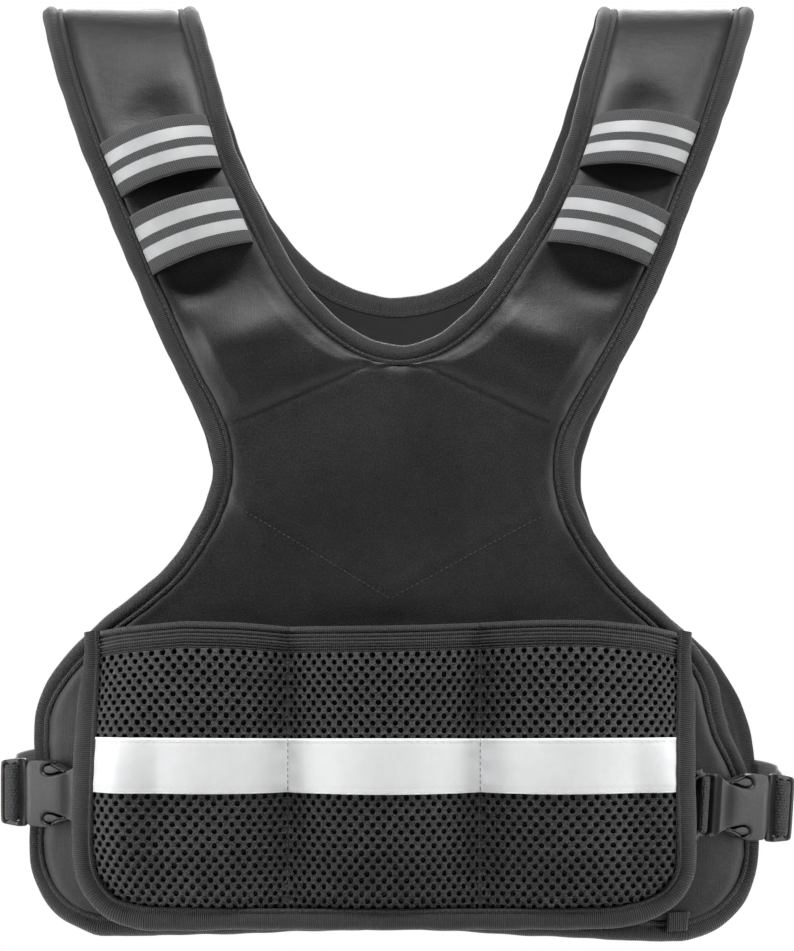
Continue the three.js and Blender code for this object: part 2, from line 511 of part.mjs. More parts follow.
// A strap as a ribbon of constant width: its centre path lies in the plane (l, t), its width runs along h.
function ribbon(path, thick, width) {
  const left = [], right = [];
  path.forEach(([l, t], k) => {
    const a = path[Math.max(0, k - 1)], b = path[Math.min(path.length - 1, k + 1)];
    const d = new THREE.Vector2(b[0] - a[0], b[1] - a[1]).normalize();
    left.push([l - (d.y * thick) / 2, t + (d.x * thick) / 2]);
    right.push([l + (d.y * thick) / 2, t - (d.x * thick) / 2]);
  });
  return plate(facing([...left, ...right.reverse()]), -width / 2, width / 2); // extruded along its own z
}
for (const b of BUCKLES) {
  // l points away from the centre along the chord, h is up, t is outward
  const turn = THREE.MathUtils.degToRad(BUCKLE.turn);
  const along = new THREE.Vector3(b.side * Math.cos(turn), Math.sin(turn), 0);
  const out = new THREE.Vector3(b.side * Math.sin(turn), -Math.cos(turn), 0);
  const up = new THREE.Vector3(0, 0, 1);
  const basis = new THREE.Matrix4().makeBasis(along, up, out).setPosition(b.side * BUCKLE.x, BUCKLE.y, b.z);
  const roll = new THREE.Matrix4().makeRotationZ(THREE.MathUtils.degToRad(b.roll));
  const place = basis.clone().multiply(roll);
  const put = (g) => {
    const moved = g.clone().applyMatrix4(place);
    if (place.determinant() < 0) {
      const idx = moved.index ? [...moved.index.array] : [...Array(moved.getAttribute("position").count).keys()];
      for (let i = 0; i < idx.length; i += 3) [idx[i + 1], idx[i + 2]] = [idx[i + 2], idx[i + 1]];
      moved.setIndex(idx);
    }
    moved.computeVertexNormals();
    return moved;
  };
  piece("buckle_female_" + b.name, put(fromSolid(socketSolid)), "plastic");
  piece("buckle_male_" + b.name, put(fromSolid(plugSolid)), "plastic");
  // the ribbon is drawn in (l, t) and extruded along h
  const upright = (g) => g.rotateX(Math.PI / 2);
  const w = WEB.thick, half = w / 2;
  // from under the pocket panel, up through the socket's slot and back round its bar
    const frontWeb = [[-37, -4.9], [-33.5, -3.9], [-29.6, -2.2], [-26, -half - GAP - 0.1], [-22.4, -half - GAP - 0.1],
    [-21.2, 0.8], [-21.4, BUCKLE.bar + 0.2], [-23.2, BUCKLE.bar + half + GAP], [-25.2, BUCKLE.bar + half + GAP]];
  const webSolid = solid(upright(ribbon(frontWeb, w, WEB.width)));
  piece("front_webbing_" + b.name, put(fromSolid(webSolid)), "webbing");
  // over the plug's middle bar, behind its outer bar, then round the side to the back wing
  const T = BUCKLE.thick - 1.2 - 1.4 + 0.6;
  const sideWeb = [[18.5, -half - 0.5], [22.6, -half - 0.5], [24.5, -0.2], [24.9, T + 0.5], [26.3, T + half + GAP + 0.3],
    [29.8, T + half + GAP + 0.3], [31.3, T + 0.4], [31.3, 0.2], [32.2, -half - 0.9], [35.4, -half - 1.3]];
  const flat = solid(upright(ribbon(sideWeb, w, WEB.width)));
  const local = put(fromSolid(flat));
  // the run round the side, in plan, from the frame's end to the back wing
  const start = new THREE.Vector3(34.6, 0, -half - 1.15).applyMatrix4(place);
  const route = [];
  const wing = [[204.5, 62], [198, 74], [188, 85.5]].map(([x]) => at(b.side * (x - 6), b.z, PANEL + TAPE.over + GAP + half, 1));
  const first = new THREE.Vector3(b.side * 208.6, -20, b.z), second = new THREE.Vector3(b.side * 210.4, 22, b.z);
  route.push([start.x, start.y], [first.x, first.y], [second.x, second.y]);
  wing.forEach((p) => route.push([p.x, p.y]));
  const run = ribbon(route, w, WEB.width).translate(0, 0, b.z);
  const joined = solid(local).add(solid(run));
  piece("side_webbing_" + b.name, fromSolid(joined), "webbing");
}

// ---------- corner tab: small elastic tongue at the lower right of the hem ----------
const tabRows = [
  { z: -483.4, left: 141.6, right: 152.2 },
  { z: -493.4, left: 140.8, right: 151.2 },
];
const tabGrid = (off) => tabRows.map((r) => [0, 0.5, 1].map((t) => at(mix(r.left, r.right, t), r.z, off)));
piece("corner_tab", wall(tabGrid(PANEL + GAP + TAPE.over + 2), tabGrid(PANEL + GAP + TAPE.over)), "webbing");

export default vest;
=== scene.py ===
# A padded vest with three mesh weight pockets, in the form it has when worn.
# Lengths in this script are millimetres until a mesh is made, then metres.
import bpy, math
import numpy as np
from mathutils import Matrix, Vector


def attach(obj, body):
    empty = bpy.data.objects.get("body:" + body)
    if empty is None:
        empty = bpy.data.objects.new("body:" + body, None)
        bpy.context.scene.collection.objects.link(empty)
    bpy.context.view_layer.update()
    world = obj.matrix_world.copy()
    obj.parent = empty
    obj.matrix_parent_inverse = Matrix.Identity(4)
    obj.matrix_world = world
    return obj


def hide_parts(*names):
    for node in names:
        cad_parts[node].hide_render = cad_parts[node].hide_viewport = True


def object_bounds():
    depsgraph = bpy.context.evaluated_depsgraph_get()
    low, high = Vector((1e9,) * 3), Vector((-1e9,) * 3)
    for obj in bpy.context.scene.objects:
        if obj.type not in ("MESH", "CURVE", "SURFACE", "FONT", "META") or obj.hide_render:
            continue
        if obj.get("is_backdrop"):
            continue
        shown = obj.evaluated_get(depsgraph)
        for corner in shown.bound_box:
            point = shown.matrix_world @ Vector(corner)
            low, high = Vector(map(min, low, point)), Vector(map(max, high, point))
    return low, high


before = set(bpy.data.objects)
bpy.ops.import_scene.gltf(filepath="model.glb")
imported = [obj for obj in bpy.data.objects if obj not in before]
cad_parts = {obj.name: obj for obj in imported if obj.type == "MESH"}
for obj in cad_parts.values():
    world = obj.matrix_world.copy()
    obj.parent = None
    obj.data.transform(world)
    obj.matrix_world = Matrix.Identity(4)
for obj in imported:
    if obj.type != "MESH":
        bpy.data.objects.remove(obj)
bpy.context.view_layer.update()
rng = np.random.default_rng(11)
ROOT = "root"

# ---------------------------------------------------------------- sizes
ARCH, DEEP, BELLY, BACKX = 250.0, 98.0, 12.0, 4.0
PANEL, GAP, MESH, SEAM_Y = 5.0, 0.4, 3.0, 0.3
SEAM_L, SEAM_R, MOUTH_BULGE, CLEAR, LIFT = -57.0, 43.5, 13.0, 6.9, 12.0
EL_TOP, EL_FOOT, EL_THICK = -330.8, -344.3, 3.4
BUCKLES = {-1: (-421.4, 0.0), 1: (-428.0, -4.5)}  # side: height, roll
B_TURN, B_X, B_Y, B_BAR = 31.5, 179.6, -88.6, 4.8
WEB_T, WEB_W = 1.8, 30.0
FRONT_LEFT = [  # columns: ox, oz, ix, iz
    (-185.5, 0, -119.2, 0), (-184.8, -3, -118, -3), (-180, -17.6, -112.6, -18.7), (-172.4, -42, -105.6, -42.1),
    (-160, -75.7, -96.8, -75.5), (-147.6, -105.1, -84, -105.2), (-129.2, -147.6, -62.6, -147),
    (-116.8, -175.3, -47.1, -167.1), (-109.6, -190.5, -32.3, -180.2), (-103.6, -202.5, -17, -189),
    (-97, -214.4, 1, -192.6), (-91.9, -227.1, 1, -209.8), (-89.2, -238, 1, -226), (-88.6, -250.8, 1, -243.9),
    (-90.9, -264.2, 1, -260), (-98, -281.5, 1, -278.6), (-113.4, -304.8, 1, -298.5), (-131.5, -321.8, 1, -315.5),
    (-150.5, -336.6, 1, -330), (-167.7, -353.4, 1, -347.3), (-178.2, -367.2, 1, -365.7), (-183.6, -379.7, 1, -378.7),
    (-184.6, -392.4, 1, -391.8), (-184.4, -408, 1, -405), (-186.1, -428, 1, -424), (-187.4, -451, 1, -447),
    (-183.2, -468.1, 1, -462), (-173, -480.3, 1, -473), (-156.8, -487, 1, -481.5),
]
FRONT_RIGHT = [  # columns: ox, oz, ix, iz
    (187.2, 0, 120.4, 0), (186.2, -3, 119.4, -3), (181, -17.5, 115, -18.7), (173.6, -38.1, 108.7, -42.1),
    (162.2, -70.2, 100, -75.5), (151.4, -96.9, 87.4, -107.4), (134.6, -139, 62.6, -147.6),
    (121.6, -167.3, 49.2, -166), (109.8, -188.5, 34.4, -180.2), (101.6, -202.4, 19, -189), (93.6, -216, 1, -192.6),
    (87.4, -229.2, 1, -209.8), (84.6, -241.8, 1, -226), (84.7, -255.6, 1, -243.9), (87.5, -269.6, 1, -260),
    (93.8, -283.5, 1, -278.6), (104.6, -300.6, 1, -298.5), (117.6, -316, 1, -315.5), (134.6, -332, 1, -330),
    (152.6, -350.6, 1, -347.3), (160.6, -364.2, 1, -365.7), (163.6, -377, 1, -378.7), (167.4, -391, 1, -391.8),
    (175, -407, 1, -405), (181.6, -427, 1, -424), (184, -452, 1, -447), (179.4, -470.4, 1, -462),
    (167.4, -483.6, 1, -473), (150.5, -490, 1, -481.5),
]
BACK_HALF = [  # columns: ox, oz, ix, iz
    (186, 0, 119.8, 0), (185.6, -1.4, 119.4, -1.4), (184, -7, 117.8, -7), (181, -18, 114, -19), (173, -42, 107, -43),
    (161, -76, 96, -76), (149, -110, 80, -109), (136, -142, 60.5, -133.6), (124, -172, 43.5, -147),
    (113, -197, 23, -156.4), (103.6, -219, 0, -160), (96.4, -244, 0, -200), (96.6, -266, 0, -250),
    (106, -292, 0, -285), (122, -316, 0, -312), (148, -340, 0, -338), (172, -362, 0, -361), (184.5, -382, 0, -383),
    (191, -402, 0, -402), (193.5, -424, 0, -424), (191, -448, 0, -446), (183, -466, 0, -461), (168, -479, 0, -472),
    (150, -484, 0, -480),
]
SPOTS = [  # columns: x, z, radius, depth
    (-134, -56, 15, -3.2), (-98, -149, 15, -2.6), (137, -54, 15, -3.2), (99, -147, 15, -2.6), (-92, -176, 22, 2.4),
    (88, -176, 22, 2.2),
]
POCKET = [  # columns: z, left, right, bulge
    (-344.7, -154.4, 145.8, 14), (-358, -154.8, 145.6, 17), (-374, -155.3, 145.4, 18), (-391, -156, 145, 20),
    (-418.6, -157, 145.3, 21), (-448, -157.5, 145.9, 17.5), (-461, -156.2, 145.2, 13), (-471, -151.5, 139.5, 8.5),
    (-477.5, -144, 128, 4), (-480.7, -130, 112, 0.6),
]
BANDS = [  # columns: name, then outer top x z, outer foot x z, inner top x z, inner foot x z
    ("left_upper", -159.6, -76.4, -147.2, -104.8, -101.2, -60.6, -92.4, -89),
    ("left_lower", -142.8, -115.6, -130, -146.4, -87.8, -99.4, -75.4, -128.6),
    ("right_upper", 163, -64.6, 152, -92.6, 106, -60.6, 96.2, -88.6),
    ("right_lower", 146, -114, 133.6, -141.6, 92, -98.6, 78.6, -128.6),
]

# ---------------------------------------------------------------- the body form
def smooth(t):
    t = np.clip(t, 0, 1)
    return t * t * (3 - 2 * t)


def level(z):
    z = np.asarray(z, float)
    top = np.minimum(np.arcsin(np.clip((z + ARCH) / ARCH, -1, 1)), math.acos(SEAM_Y / DEEP / 0.68))
    return np.where(z > -ARCH, top, (z + ARCH) / ARCH)


def form(x, s, side):
    x, s = np.broadcast_arrays(np.asarray(x, float), np.asarray(s, float))
    z = np.where(s > 0, ARCH * (np.sin(s) - 1), ARCH * (s - 1))
    w = smooth((30 - ARCH - z) / 110)
    half, n = 228 - 14 * w, 2.6 + 0.3 * w
    deep = np.where(s > 0, DEEP * np.cos(s), DEEP + (BELLY if side < 0 else BACKX) * smooth(-s * ARCH / 170))
    across = np.power(np.maximum(1e-6, 1 - np.power(np.abs(x) / half, n)), 1 / n)
    return np.stack([x, side * deep * across, z], -1)


def outward(x, s, side):
    x, s = np.broadcast_arrays(np.asarray(x, float), np.asarray(s, float))
    e = 1e-3
    n = np.cross(form(x + 0.2, s, side) - form(x - 0.2, s, side), form(x, s + e, side) - form(x, s - e, side))
    n /= np.linalg.norm(n, axis=-1, keepdims=True)
    lean = np.maximum(0, s)
    up = np.stack([0 * x, side * np.cos(lean), np.sin(lean)], -1)
    return n * np.sign((n * up).sum(-1, keepdims=True))


def at(x, z, off, side=-1):
    s = level(z)
    return form(x, s, side) + outward(x, s, side) * np.asarray(off, float)[..., None]


def on_side(p, side):
    p = p.copy()
    p[..., 1] = np.minimum(p[..., 1], -SEAM_Y) if side < 0 else np.maximum(p[..., 1], SEAM_Y)
    return p


def denser(table, steps):
    a = np.array(table, float)
    n = len(a)
    out = []
    for k in range(n - 1):
        p = [a[min(n - 1, max(0, k + d))] for d in (-1, 0, 1, 2)]
        for i in range(steps):
            t = i / steps
            out.append(0.5 * (2 * p[1] + (p[2] - p[0]) * t + (2 * p[0] - 5 * p[1] + 4 * p[2] - p[3]) * t * t
                              + (3 * p[1] - p[0] - 3 * p[2] + p[3]) * t ** 3))
    out.append(a[-1])
    return np.array(out)


def ripple(x, z, seed, scale):
    """Soft repeatable unevenness between -1 and 1."""
    r = np.random.default_rng(seed)
    total = np.zeros(np.broadcast(x, z).shape)
    for _ in range(6):
        a, b, c = r.uniform(-1, 1, 3)
        total = total + np.sin((a * x + b * z) / scale * 3.0 + c * 6.0)
    return total / 3.2


# ---------------------------------------------------------------- meshes
class Bag:
    """Collects vertices, faces, uvs and material indices of one piece."""

    def __init__(self):
        self.v, self.f, self.uv, self.m, self.n = [], [], [], [], 0

    def add(self, verts, faces, uv=None, mat=0):
        verts = np.asarray(verts, float).reshape(-1, 3)
        faces = np.asarray(faces, int)
        uv = np.zeros((len(verts), 2)) if uv is None else np.asarray(uv, float).reshape(-1, 2)
        self.v.append(verts)
        self.uv.append(uv)
        self.f.append(faces + self.n)
        self.m.append(np.full(len(faces), mat))
        self.n += len(verts)

    def piece(self, name, materials, smooth_faces=True):
        v = np.concatenate(self.v) / 1000.0
        uv = np.concatenate(self.uv)
        faces = [tuple(row) for block in self.f for row in block.tolist()]
        me = bpy.data.meshes.new(name)
        me.from_pydata(v.tolist(), [], faces)
        for m in materials:
            me.materials.append(m)
        me.polygons.foreach_set("material_index", np.concatenate(self.m).astype(np.int32))
        me.polygons.foreach_set("use_smooth", np.full(len(faces), smooth_faces))
        layer = me.uv_layers.new(name="UVMap")
        idx = np.empty(len(me.loops), np.int32)
        me.loops.foreach_get("vertex_index", idx)
        layer.data.foreach_set("uv", uv[idx].ravel())
        me.update()
        ob = bpy.data.objects.new(name, me)
        bpy.context.scene.collection.objects.link(ob)
        return ob


def grid_faces(r, c, flip=False):
    i, j = np.meshgrid(np.arange(r - 1), np.arange(c - 1), indexing="ij")
    a = (i * c + j).ravel()
    q = np.stack([a, a + 1, a + c + 1, a + c], -1)
    return q[:, ::-1] if flip else q


def add_wall(bag, outer, inner, uv, flip=False, mats=(0, 0, 0), open_edges=()):
    """A closed wall between two grids of points (R, C, 3)."""
    r, c = outer.shape[:2]
    bag.add(outer, grid_faces(r, c, flip), uv, mats[0])
    bag.add(inner, grid_faces(r, c, not flip), uv, mats[1])
    rims = {"top": ((0, slice(None)), True), "foot": ((r - 1, slice(None)), False),
            "first": ((slice(None), 0), False), "last": ((slice(None), c - 1), True)}
    for key, (sel, turn) in rims.items():
        if key in open_edges:
            continue
        o, n, u = outer[sel], inner[sel], uv[sel]
        k = len(o)
        a = np.arange(k - 1)
        q = np.stack([a, a + 1, a + k + 1, a + k], -1)
        if turn != flip:
            q = q[:, ::-1]
        bag.add(np.concatenate([o, n]), q[:, ::-1], np.concatenate([u, u]), mats[2])


def half_area(ob):
    return sum(p.area for p in ob.data.polygons) / 2


def lengths(p):
    return np.concatenate([[0], np.cumsum(np.linalg.norm(np.diff(p, axis=0), axis=1))])


def resample(p, step):
    s = lengths(p)
    n = max(2, int(round(s[-1] / step)) + 1)
    t = np.linspace(0, s[-1], n)
    return np.stack([np.interp(t, s, p[:, k]) for k in range(p.shape[1])], -1)


def frames_along(path, side, turn):
    """base, normal, away and length along a path of (x, z) on the form."""
    x, z = path[:, 0], path[:, 1]
    base = at(x, z, np.zeros(len(x)), side)
    s = level(z)
    normal = outward(x, s, side)
    along = np.gradient(base, axis=0)
    along /= np.linalg.norm(along, axis=1, keepdims=True)
    away = np.cross(along, normal)
    away /= np.linalg.norm(away, axis=1, keepdims=True)
    return base, normal, away * -turn, along, lengths(base)


def add_tape(bag, base, normal, away, dist, section, side=None, mat=0, swell=None):
    """section: (N, K, 2) or (K, 2) of p, q round the tape. Adds a closed tape with uv = (length, way round)."""
    n = len(base)
    section = np.asarray(section, float)
    if section.ndim == 2:
        section = np.repeat(section[None], n, 0)
    k = section.shape[1]
    ring = base[:, None] + away[:, None] * section[..., 0:1] + normal[:, None] * section[..., 1:2]
    if side:
        ring = on_side(ring, side)
    around = lengths(np.concatenate([section[0], section[0][:1]]))
    # the first column is repeated at the end so that the uv doesn't wrap back
    ring = np.concatenate([ring, ring[:, :1]], 1)
    uv = np.stack(np.broadcast_arrays(dist[:, None] / 1000, around[None, :] / 1000), -1)
    i, j = np.meshgrid(np.arange(n - 1), np.arange(k), indexing="ij")
    a = (i * (k + 1) + j).ravel()
    q = np.stack([a, a + 1, a + k + 2, a + k + 1], -1)
    # which way the faces look
    c0 = ring[0, :k].mean(0)
    nrm = np.cross(ring[0, 1] - ring[0, 0], ring[1, 0] - ring[0, 0])
    if np.dot(nrm, ring[0, 0] - c0) < 0:
        q = q[:, ::-1]
        flipped = True
    else:
        flipped = False
    bag.add(ring, q, uv, mat)
    for row, turn in ((0, flipped), (n - 1, not flipped)):
        pts = ring[row, :k]
        mid = pts.mean(0)
        a = np.arange(k)
        tri = np.stack([a, (a + 1) % k, np.full(k, k)], -1)
        bag.add(np.concatenate([pts, mid[None]]), tri[:, ::-1] if not turn else tri,
                np.concatenate([uv[row, :k], uv[row, :1]]), mat)


def add_stitches(bag, points, normals, length=2.3, pitch=3.2, width=0.55, height=0.35, mat=0):
    """Short threads along a line of points, each a low bar with tapered ends."""
    s = lengths(points)
    n = int(s[-1] / pitch)
    if n < 1:
        return
    mids = (np.arange(n) + 0.5) * s[-1] / n

    def pick(t, arr):
        return np.stack([np.interp(t, s, arr[:, k]) for k in range(3)], -1)
    c = pick(mids, points)
    d = pick(mids + 0.3, points) - pick(mids - 0.3, points)
    d /= np.linalg.norm(d, axis=1, keepdims=True)
    nn = pick(mids, normals)
    nn /= np.linalg.norm(nn, axis=1, keepdims=True)
    b = np.cross(d, nn)
    # ring of four at three stations, with pointed ends
    rings = []
    for t, w, h in ((-0.5, 0.15, 0.0), (-0.3, 0.9, 0.9), (0.3, 0.9, 0.9), (0.5, 0.15, 0.0)):
        for e, f in ((-1, 0), (-0.6, 1), (0.6, 1), (1, 0)):
            rings.append(c + d * (t * length) + b * (e * w * width / 2) + nn * (h * height * f - 0.05))
    v = np.stack(rings, 1)  # (n, 16, 3)
    faces = []
    for r in range(3):
        for k in range(3):
            a = r * 4 + k
            faces.append((a, a + 1, a + 5, a + 4))
    f = (np.array(faces)[None] + (np.arange(n) * 16)[:, None, None]).reshape(-1, 4)
    bag.add(v.reshape(-1, 3), f[:, ::-1], None, mat)

# ---------------------------------------------------------------- materials
class Mat:
    """A short way to write a node material."""

    def __init__(self, name):
        self.m = bpy.data.materials.new(name)
        self.m.use_nodes = True
        self.t = self.m.node_tree
        self.t.nodes.clear()
        self.out = self.t.nodes.new("ShaderNodeOutputMaterial")
        self.b = self.t.nodes.new("ShaderNodeBsdfPrincipled")
        self.t.links.new(self.b.outputs[0], self.out.inputs[0])

    def put(self, sock, v):
        if isinstance(v, bpy.types.NodeSocket):
            self.t.links.new(v, sock)
        elif isinstance(v, bpy.types.Node):
            self.t.links.new(v.outputs[0], sock)
        elif hasattr(sock.default_value, "__len__") and not hasattr(v, "__len__"):
            sock.default_value = (v, v, v, 1)[:len(sock.default_value)]
        elif hasattr(v, "__len__") and len(v) == 3 and len(sock.default_value) == 4:
            sock.default_value = (*v, 1)
        else:
            sock.default_value = v

    def set(self, **k):
        for a, v in k.items():
            self.put(self.b.inputs[a.replace("_", " ")], v)

    def node(self, kind, props=(), **k):
        n = self.t.nodes.new("ShaderNode" + kind)
        for a, v in dict(props).items():
            setattr(n, a, v)
        for a, v in k.items():
            self.put(n.inputs[int(a[1:])] if a[0] == "i" and a[1:].isdigit() else n.inputs[a.replace("_", " ")], v)
        return n

    def math(self, op, a, b=0.0, c=0.0):
        n = self.node("Math", {"operation": op})
        for i, v in enumerate((a, b, c)):
            self.put(n.inputs[i], v)
        return n.outputs[0]

    def uv(self):
        n = self.node("TexCoord")
        s = self.node("SeparateXYZ", i0=n.outputs["UV"])
        return n.outputs["UV"], s.outputs[0], s.outputs[1]

    def obj(self):
        return self.node("TexCoord").outputs["Object"]

    def noise(self, vec, scale, detail=2.0, rough=0.5):
        return self.node("TexNoise", Vector=vec, Scale=scale, Detail=detail, Roughness=rough).outputs[0]

    def ramp(self, v, lo, hi, a=0.0, b=1.0):
        n = self.node("MapRange", Value=v)
        for k, x in zip(("From Min", "From Max", "To Min", "To Max"), (lo, hi, a, b)):
            self.put(n.inputs[k], x)
        return n.outputs[0]

    def mix(self, f, a, b):
        n = self.node("Mix", {"data_type": "RGBA"})
        self.put(n.inputs[0], f)
        self.put(n.inputs[6], a)
        self.put(n.inputs[7], b)
        return n.outputs[2]

    def wave(self, v, pitch):
        """sine of a length with that pitch in metres, between 0 and 1."""
        s = self.math("SINE", self.math("MULTIPLY", v, 2 * math.pi / pitch))
        return self.math("MULTIPLY_ADD", s, 0.5, 0.5)

    def bump(self, height, distance, strength=1.0, under=None):
        n = self.node("Bump", Height=height)
        n.inputs["Strength"].default_value = strength
        n.inputs["Distance"].default_value = distance
        if under is not None:
            self.put(n.inputs["Normal"], under)
        return n.outputs[0]


def knit(name, dark, pale, rough, sheen, bump=0.00012, fleck=0.8, grain=950):
    m = Mat(name)
    uv, u, v = m.uv()
    o = m.obj()
    fine = m.noise(uv, grain, 2.5, 0.65)
    mid = m.noise(uv, 140, 3, 0.55)
    broad = m.noise(o, 14, 3, 0.5)
    # loops of a fine jersey: courses along v, wales along u
    loops = m.math("MULTIPLY", m.wave(u, 0.00085), m.wave(m.math("ADD", v, m.math("MULTIPLY", m.wave(u, 0.0017), 0.0003)), 0.00070))
    tone = m.math("ADD", m.math("MULTIPLY", fine, fleck), m.math("ADD", m.math("MULTIPLY", mid, 0.35), m.math("MULTIPLY", broad, 0.5)))
    m.set(Base_Color=m.mix(m.ramp(tone, 0.45 * (0.85 + fleck), 0.78 * (0.85 + fleck) - 0.1), dark, pale),
          Roughness=m.ramp(m.math("ADD", m.math("MULTIPLY", broad, 0.6), m.math("MULTIPLY", fine, 0.4)), 0.3, 0.7, rough - 0.05, rough + 0.07),
          Specular_IOR_Level=0.42, Sheen_Weight=sheen, Sheen_Roughness=0.35, Sheen_Tint=(0.75, 0.78, 0.82))
    h = m.math("ADD", m.math("MULTIPLY", loops, 0.35), m.math("MULTIPLY", fine, 1.1))
    soft = m.bump(mid, 0.0009, 0.22)
    m.set(Normal=m.bump(h, bump, 0.8, soft))
    return m.m


def ribbed(name, dark, pale, pitch=0.00106, rough=0.58, sheen=0.35, across=False, depth=0.0004):
    m = Mat(name)
    uv, u, v = m.uv()
    if across:
        u, v = v, u
    warp = m.noise(uv, 260, 2, 0.5)
    fine = m.noise(uv, 1300, 3, 0.6)
    broad = m.noise(m.obj(), 22, 2, 0.5)
    shaken = m.math("ADD", u, m.math("MULTIPLY", warp, 0.0004))
    rib = m.wave(shaken, pitch)
    twill = m.wave(m.math("ADD", v, m.math("MULTIPLY", rib, 0.0002)), 0.0006)
    h = m.math("ADD", m.math("MULTIPLY", rib, 0.8), m.math("ADD", m.math("MULTIPLY", twill, 0.2), m.math("MULTIPLY", fine, 0.35)))
    tone = m.math("ADD", m.math("MULTIPLY", h, 0.5), m.math("ADD", m.math("MULTIPLY", broad, 0.35), m.math("MULTIPLY", warp, 0.25)))
    m.set(Base_Color=m.mix(m.ramp(tone, 0.45, 0.95), dark, pale),
          Roughness=m.ramp(fine, 0.3, 0.7, rough - 0.06, rough + 0.08), Specular_IOR_Level=0.35,
          Sheen_Weight=sheen, Sheen_Roughness=0.45, Sheen_Tint=(0.8, 0.8, 0.82))
    m.set(Normal=m.bump(h, depth, 0.9))
    return m.m


def moulded(name):
    m = Mat(name)
    o = m.obj()
    grain = m.noise(o, 1500, 3, 0.6)
    broad = m.noise(o, 60, 3, 0.5)
    scuff = m.noise(o, 420, 4, 0.7)
    m.set(Base_Color=m.mix(m.ramp(broad, 0.3, 0.7), (0.017, 0.0175, 0.019), (0.028, 0.0285, 0.030)),
          Roughness=m.ramp(m.math("ADD", m.math("MULTIPLY", scuff, 0.7), m.math("MULTIPLY", grain, 0.3)), 0.35, 0.7, 0.34, 0.52),
          Specular_IOR_Level=0.5)
    m.set(Normal=m.bump(grain, 0.00014, 0.8, m.bump(broad, 0.0003, 0.15)))
    return m.m


def woven(name, dark, pale, rough=0.55):
    """Flat polypropylene webbing: a herringbone of fat yarns. u runs along the strap."""
    m = Mat(name)
    uv, u, v = m.uv()
    side = m.math("ABSOLUTE", v)
    yarn = m.wave(m.math("ADD", u, m.math("MULTIPLY", m.wave(side, 0.0062), 0.0030)), 0.0019)
    row = m.wave(v, 0.00155)
    fine = m.noise(uv, 2200, 3, 0.6)
    broad = m.noise(m.obj(), 40, 2, 0.5)
    h = m.math("ADD", m.math("MULTIPLY", yarn, 0.6), m.math("ADD", m.math("MULTIPLY", row, 0.5), m.math("MULTIPLY", fine, 0.3)))
    tone = m.math("ADD", m.math("MULTIPLY", h, 0.6), m.math("MULTIPLY", broad, 0.4))
    m.set(Base_Color=m.mix(m.ramp(tone, 0.3, 1.0), dark, pale), Roughness=m.ramp(fine, 0.3, 0.7, rough - 0.08, rough + 0.08),
          Specular_IOR_Level=0.45, Sheen_Weight=0.2, Sheen_Roughness=0.4)
    m.set(Normal=m.bump(h, 0.00035, 0.9))
    return m.m


def banded(name):
    """Shoulder band: dark ground with two pale stripes. v runs from 0 to 0.03 across it."""
    m = Mat(name)
    uv, u, v = m.uv()
    w = m.math("DIVIDE", v, 0.03)
    edge = m.math("ADD", w, m.math("MULTIPLY", m.math("SUBTRACT", m.noise(uv, 900, 2), 0.5), 0.012))

    def between(a, b):
        return m.math("MULTIPLY", m.ramp(edge, a - 0.006, a + 0.006), m.ramp(edge, b - 0.006, b + 0.006, 1.0, 0.0))
    stripe = m.math("ADD", between(0.22, 0.43), between(0.586, 0.786))
    fine = m.noise(uv, 2000, 3, 0.6)
    broad = m.noise(uv, 90, 2, 0.5)
    rib = m.wave(m.math("ADD", u, m.math("MULTIPLY", m.noise(uv, 400, 2), 0.0004)), 0.00125)
    cross = m.wave(v, 0.0009)
    weave = m.math("ADD", m.math("MULTIPLY", rib, 0.6), m.math("ADD", m.math("MULTIPLY", cross, 0.3), m.math("MULTIPLY", fine, 0.5)))
    ground = m.mix(m.ramp(weave, 0.3, 1.2), (0.016, 0.016, 0.0172), (0.086, 0.086, 0.09))
    pale = m.mix(m.ramp(m.math("ADD", m.math("MULTIPLY", fine, 0.6), m.math("MULTIPLY", broad, 0.4)), 0.3, 0.7),
                 (0.34, 0.345, 0.35), (0.45, 0.455, 0.46))
    m.set(Base_Color=m.mix(stripe, ground, pale), Roughness=m.ramp(stripe, 0, 1, 0.7, 0.42), Specular_IOR_Level=0.4,
          Sheen_Weight=0.15, Sheen_Roughness=0.5)
    h = m.math("ADD", m.math("MULTIPLY", weave, m.ramp(stripe, 0, 1, 1.0, 0.25)), m.math("MULTIPLY", stripe, 0.3))
    m.set(Normal=m.bump(h, 0.0003, 0.9))
    return m.m


def beaded(name):
    """Reflective tape: grey-white glass-bead film on cloth, with a painted highlight along both edges. v runs from 0 at
    its top edge, in metres.
    """
    m = Mat(name)
    uv, u, v = m.uv()
    fine = m.noise(uv, 3200, 2, 0.6)
    mid = m.noise(uv, 160, 3, 0.6)
    broad = m.noise(uv, 24, 2, 0.5)
    tone = m.math("ADD", m.math("MULTIPLY", fine, 0.3), m.math("ADD", m.math("MULTIPLY", mid, 0.35), m.math("MULTIPLY", broad, 0.4)))
    body = m.mix(m.ramp(tone, 0.3, 0.75), (0.69, 0.695, 0.70), (0.78, 0.785, 0.79))
    # painted highlight: the top and bottom millimetre of the tape are painted near-white, standing in for light caught
    # along its edges
    rim = m.math("MAXIMUM", m.ramp(v, 0.0009, 0.0013, 1.0, 0.0), m.ramp(v, 0.0267, 0.0271))
    m.set(Base_Color=m.mix(rim, body, (0.93, 0.93, 0.93)),
          Roughness=m.ramp(mid, 0.3, 0.7, 0.42, 0.56), Specular_IOR_Level=0.45, Sheen_Weight=0.1)
    m.set(Normal=m.bump(m.math("ADD", fine, m.math("MULTIPLY", mid, 2.0)), 0.00008, 0.7))
    return m.m


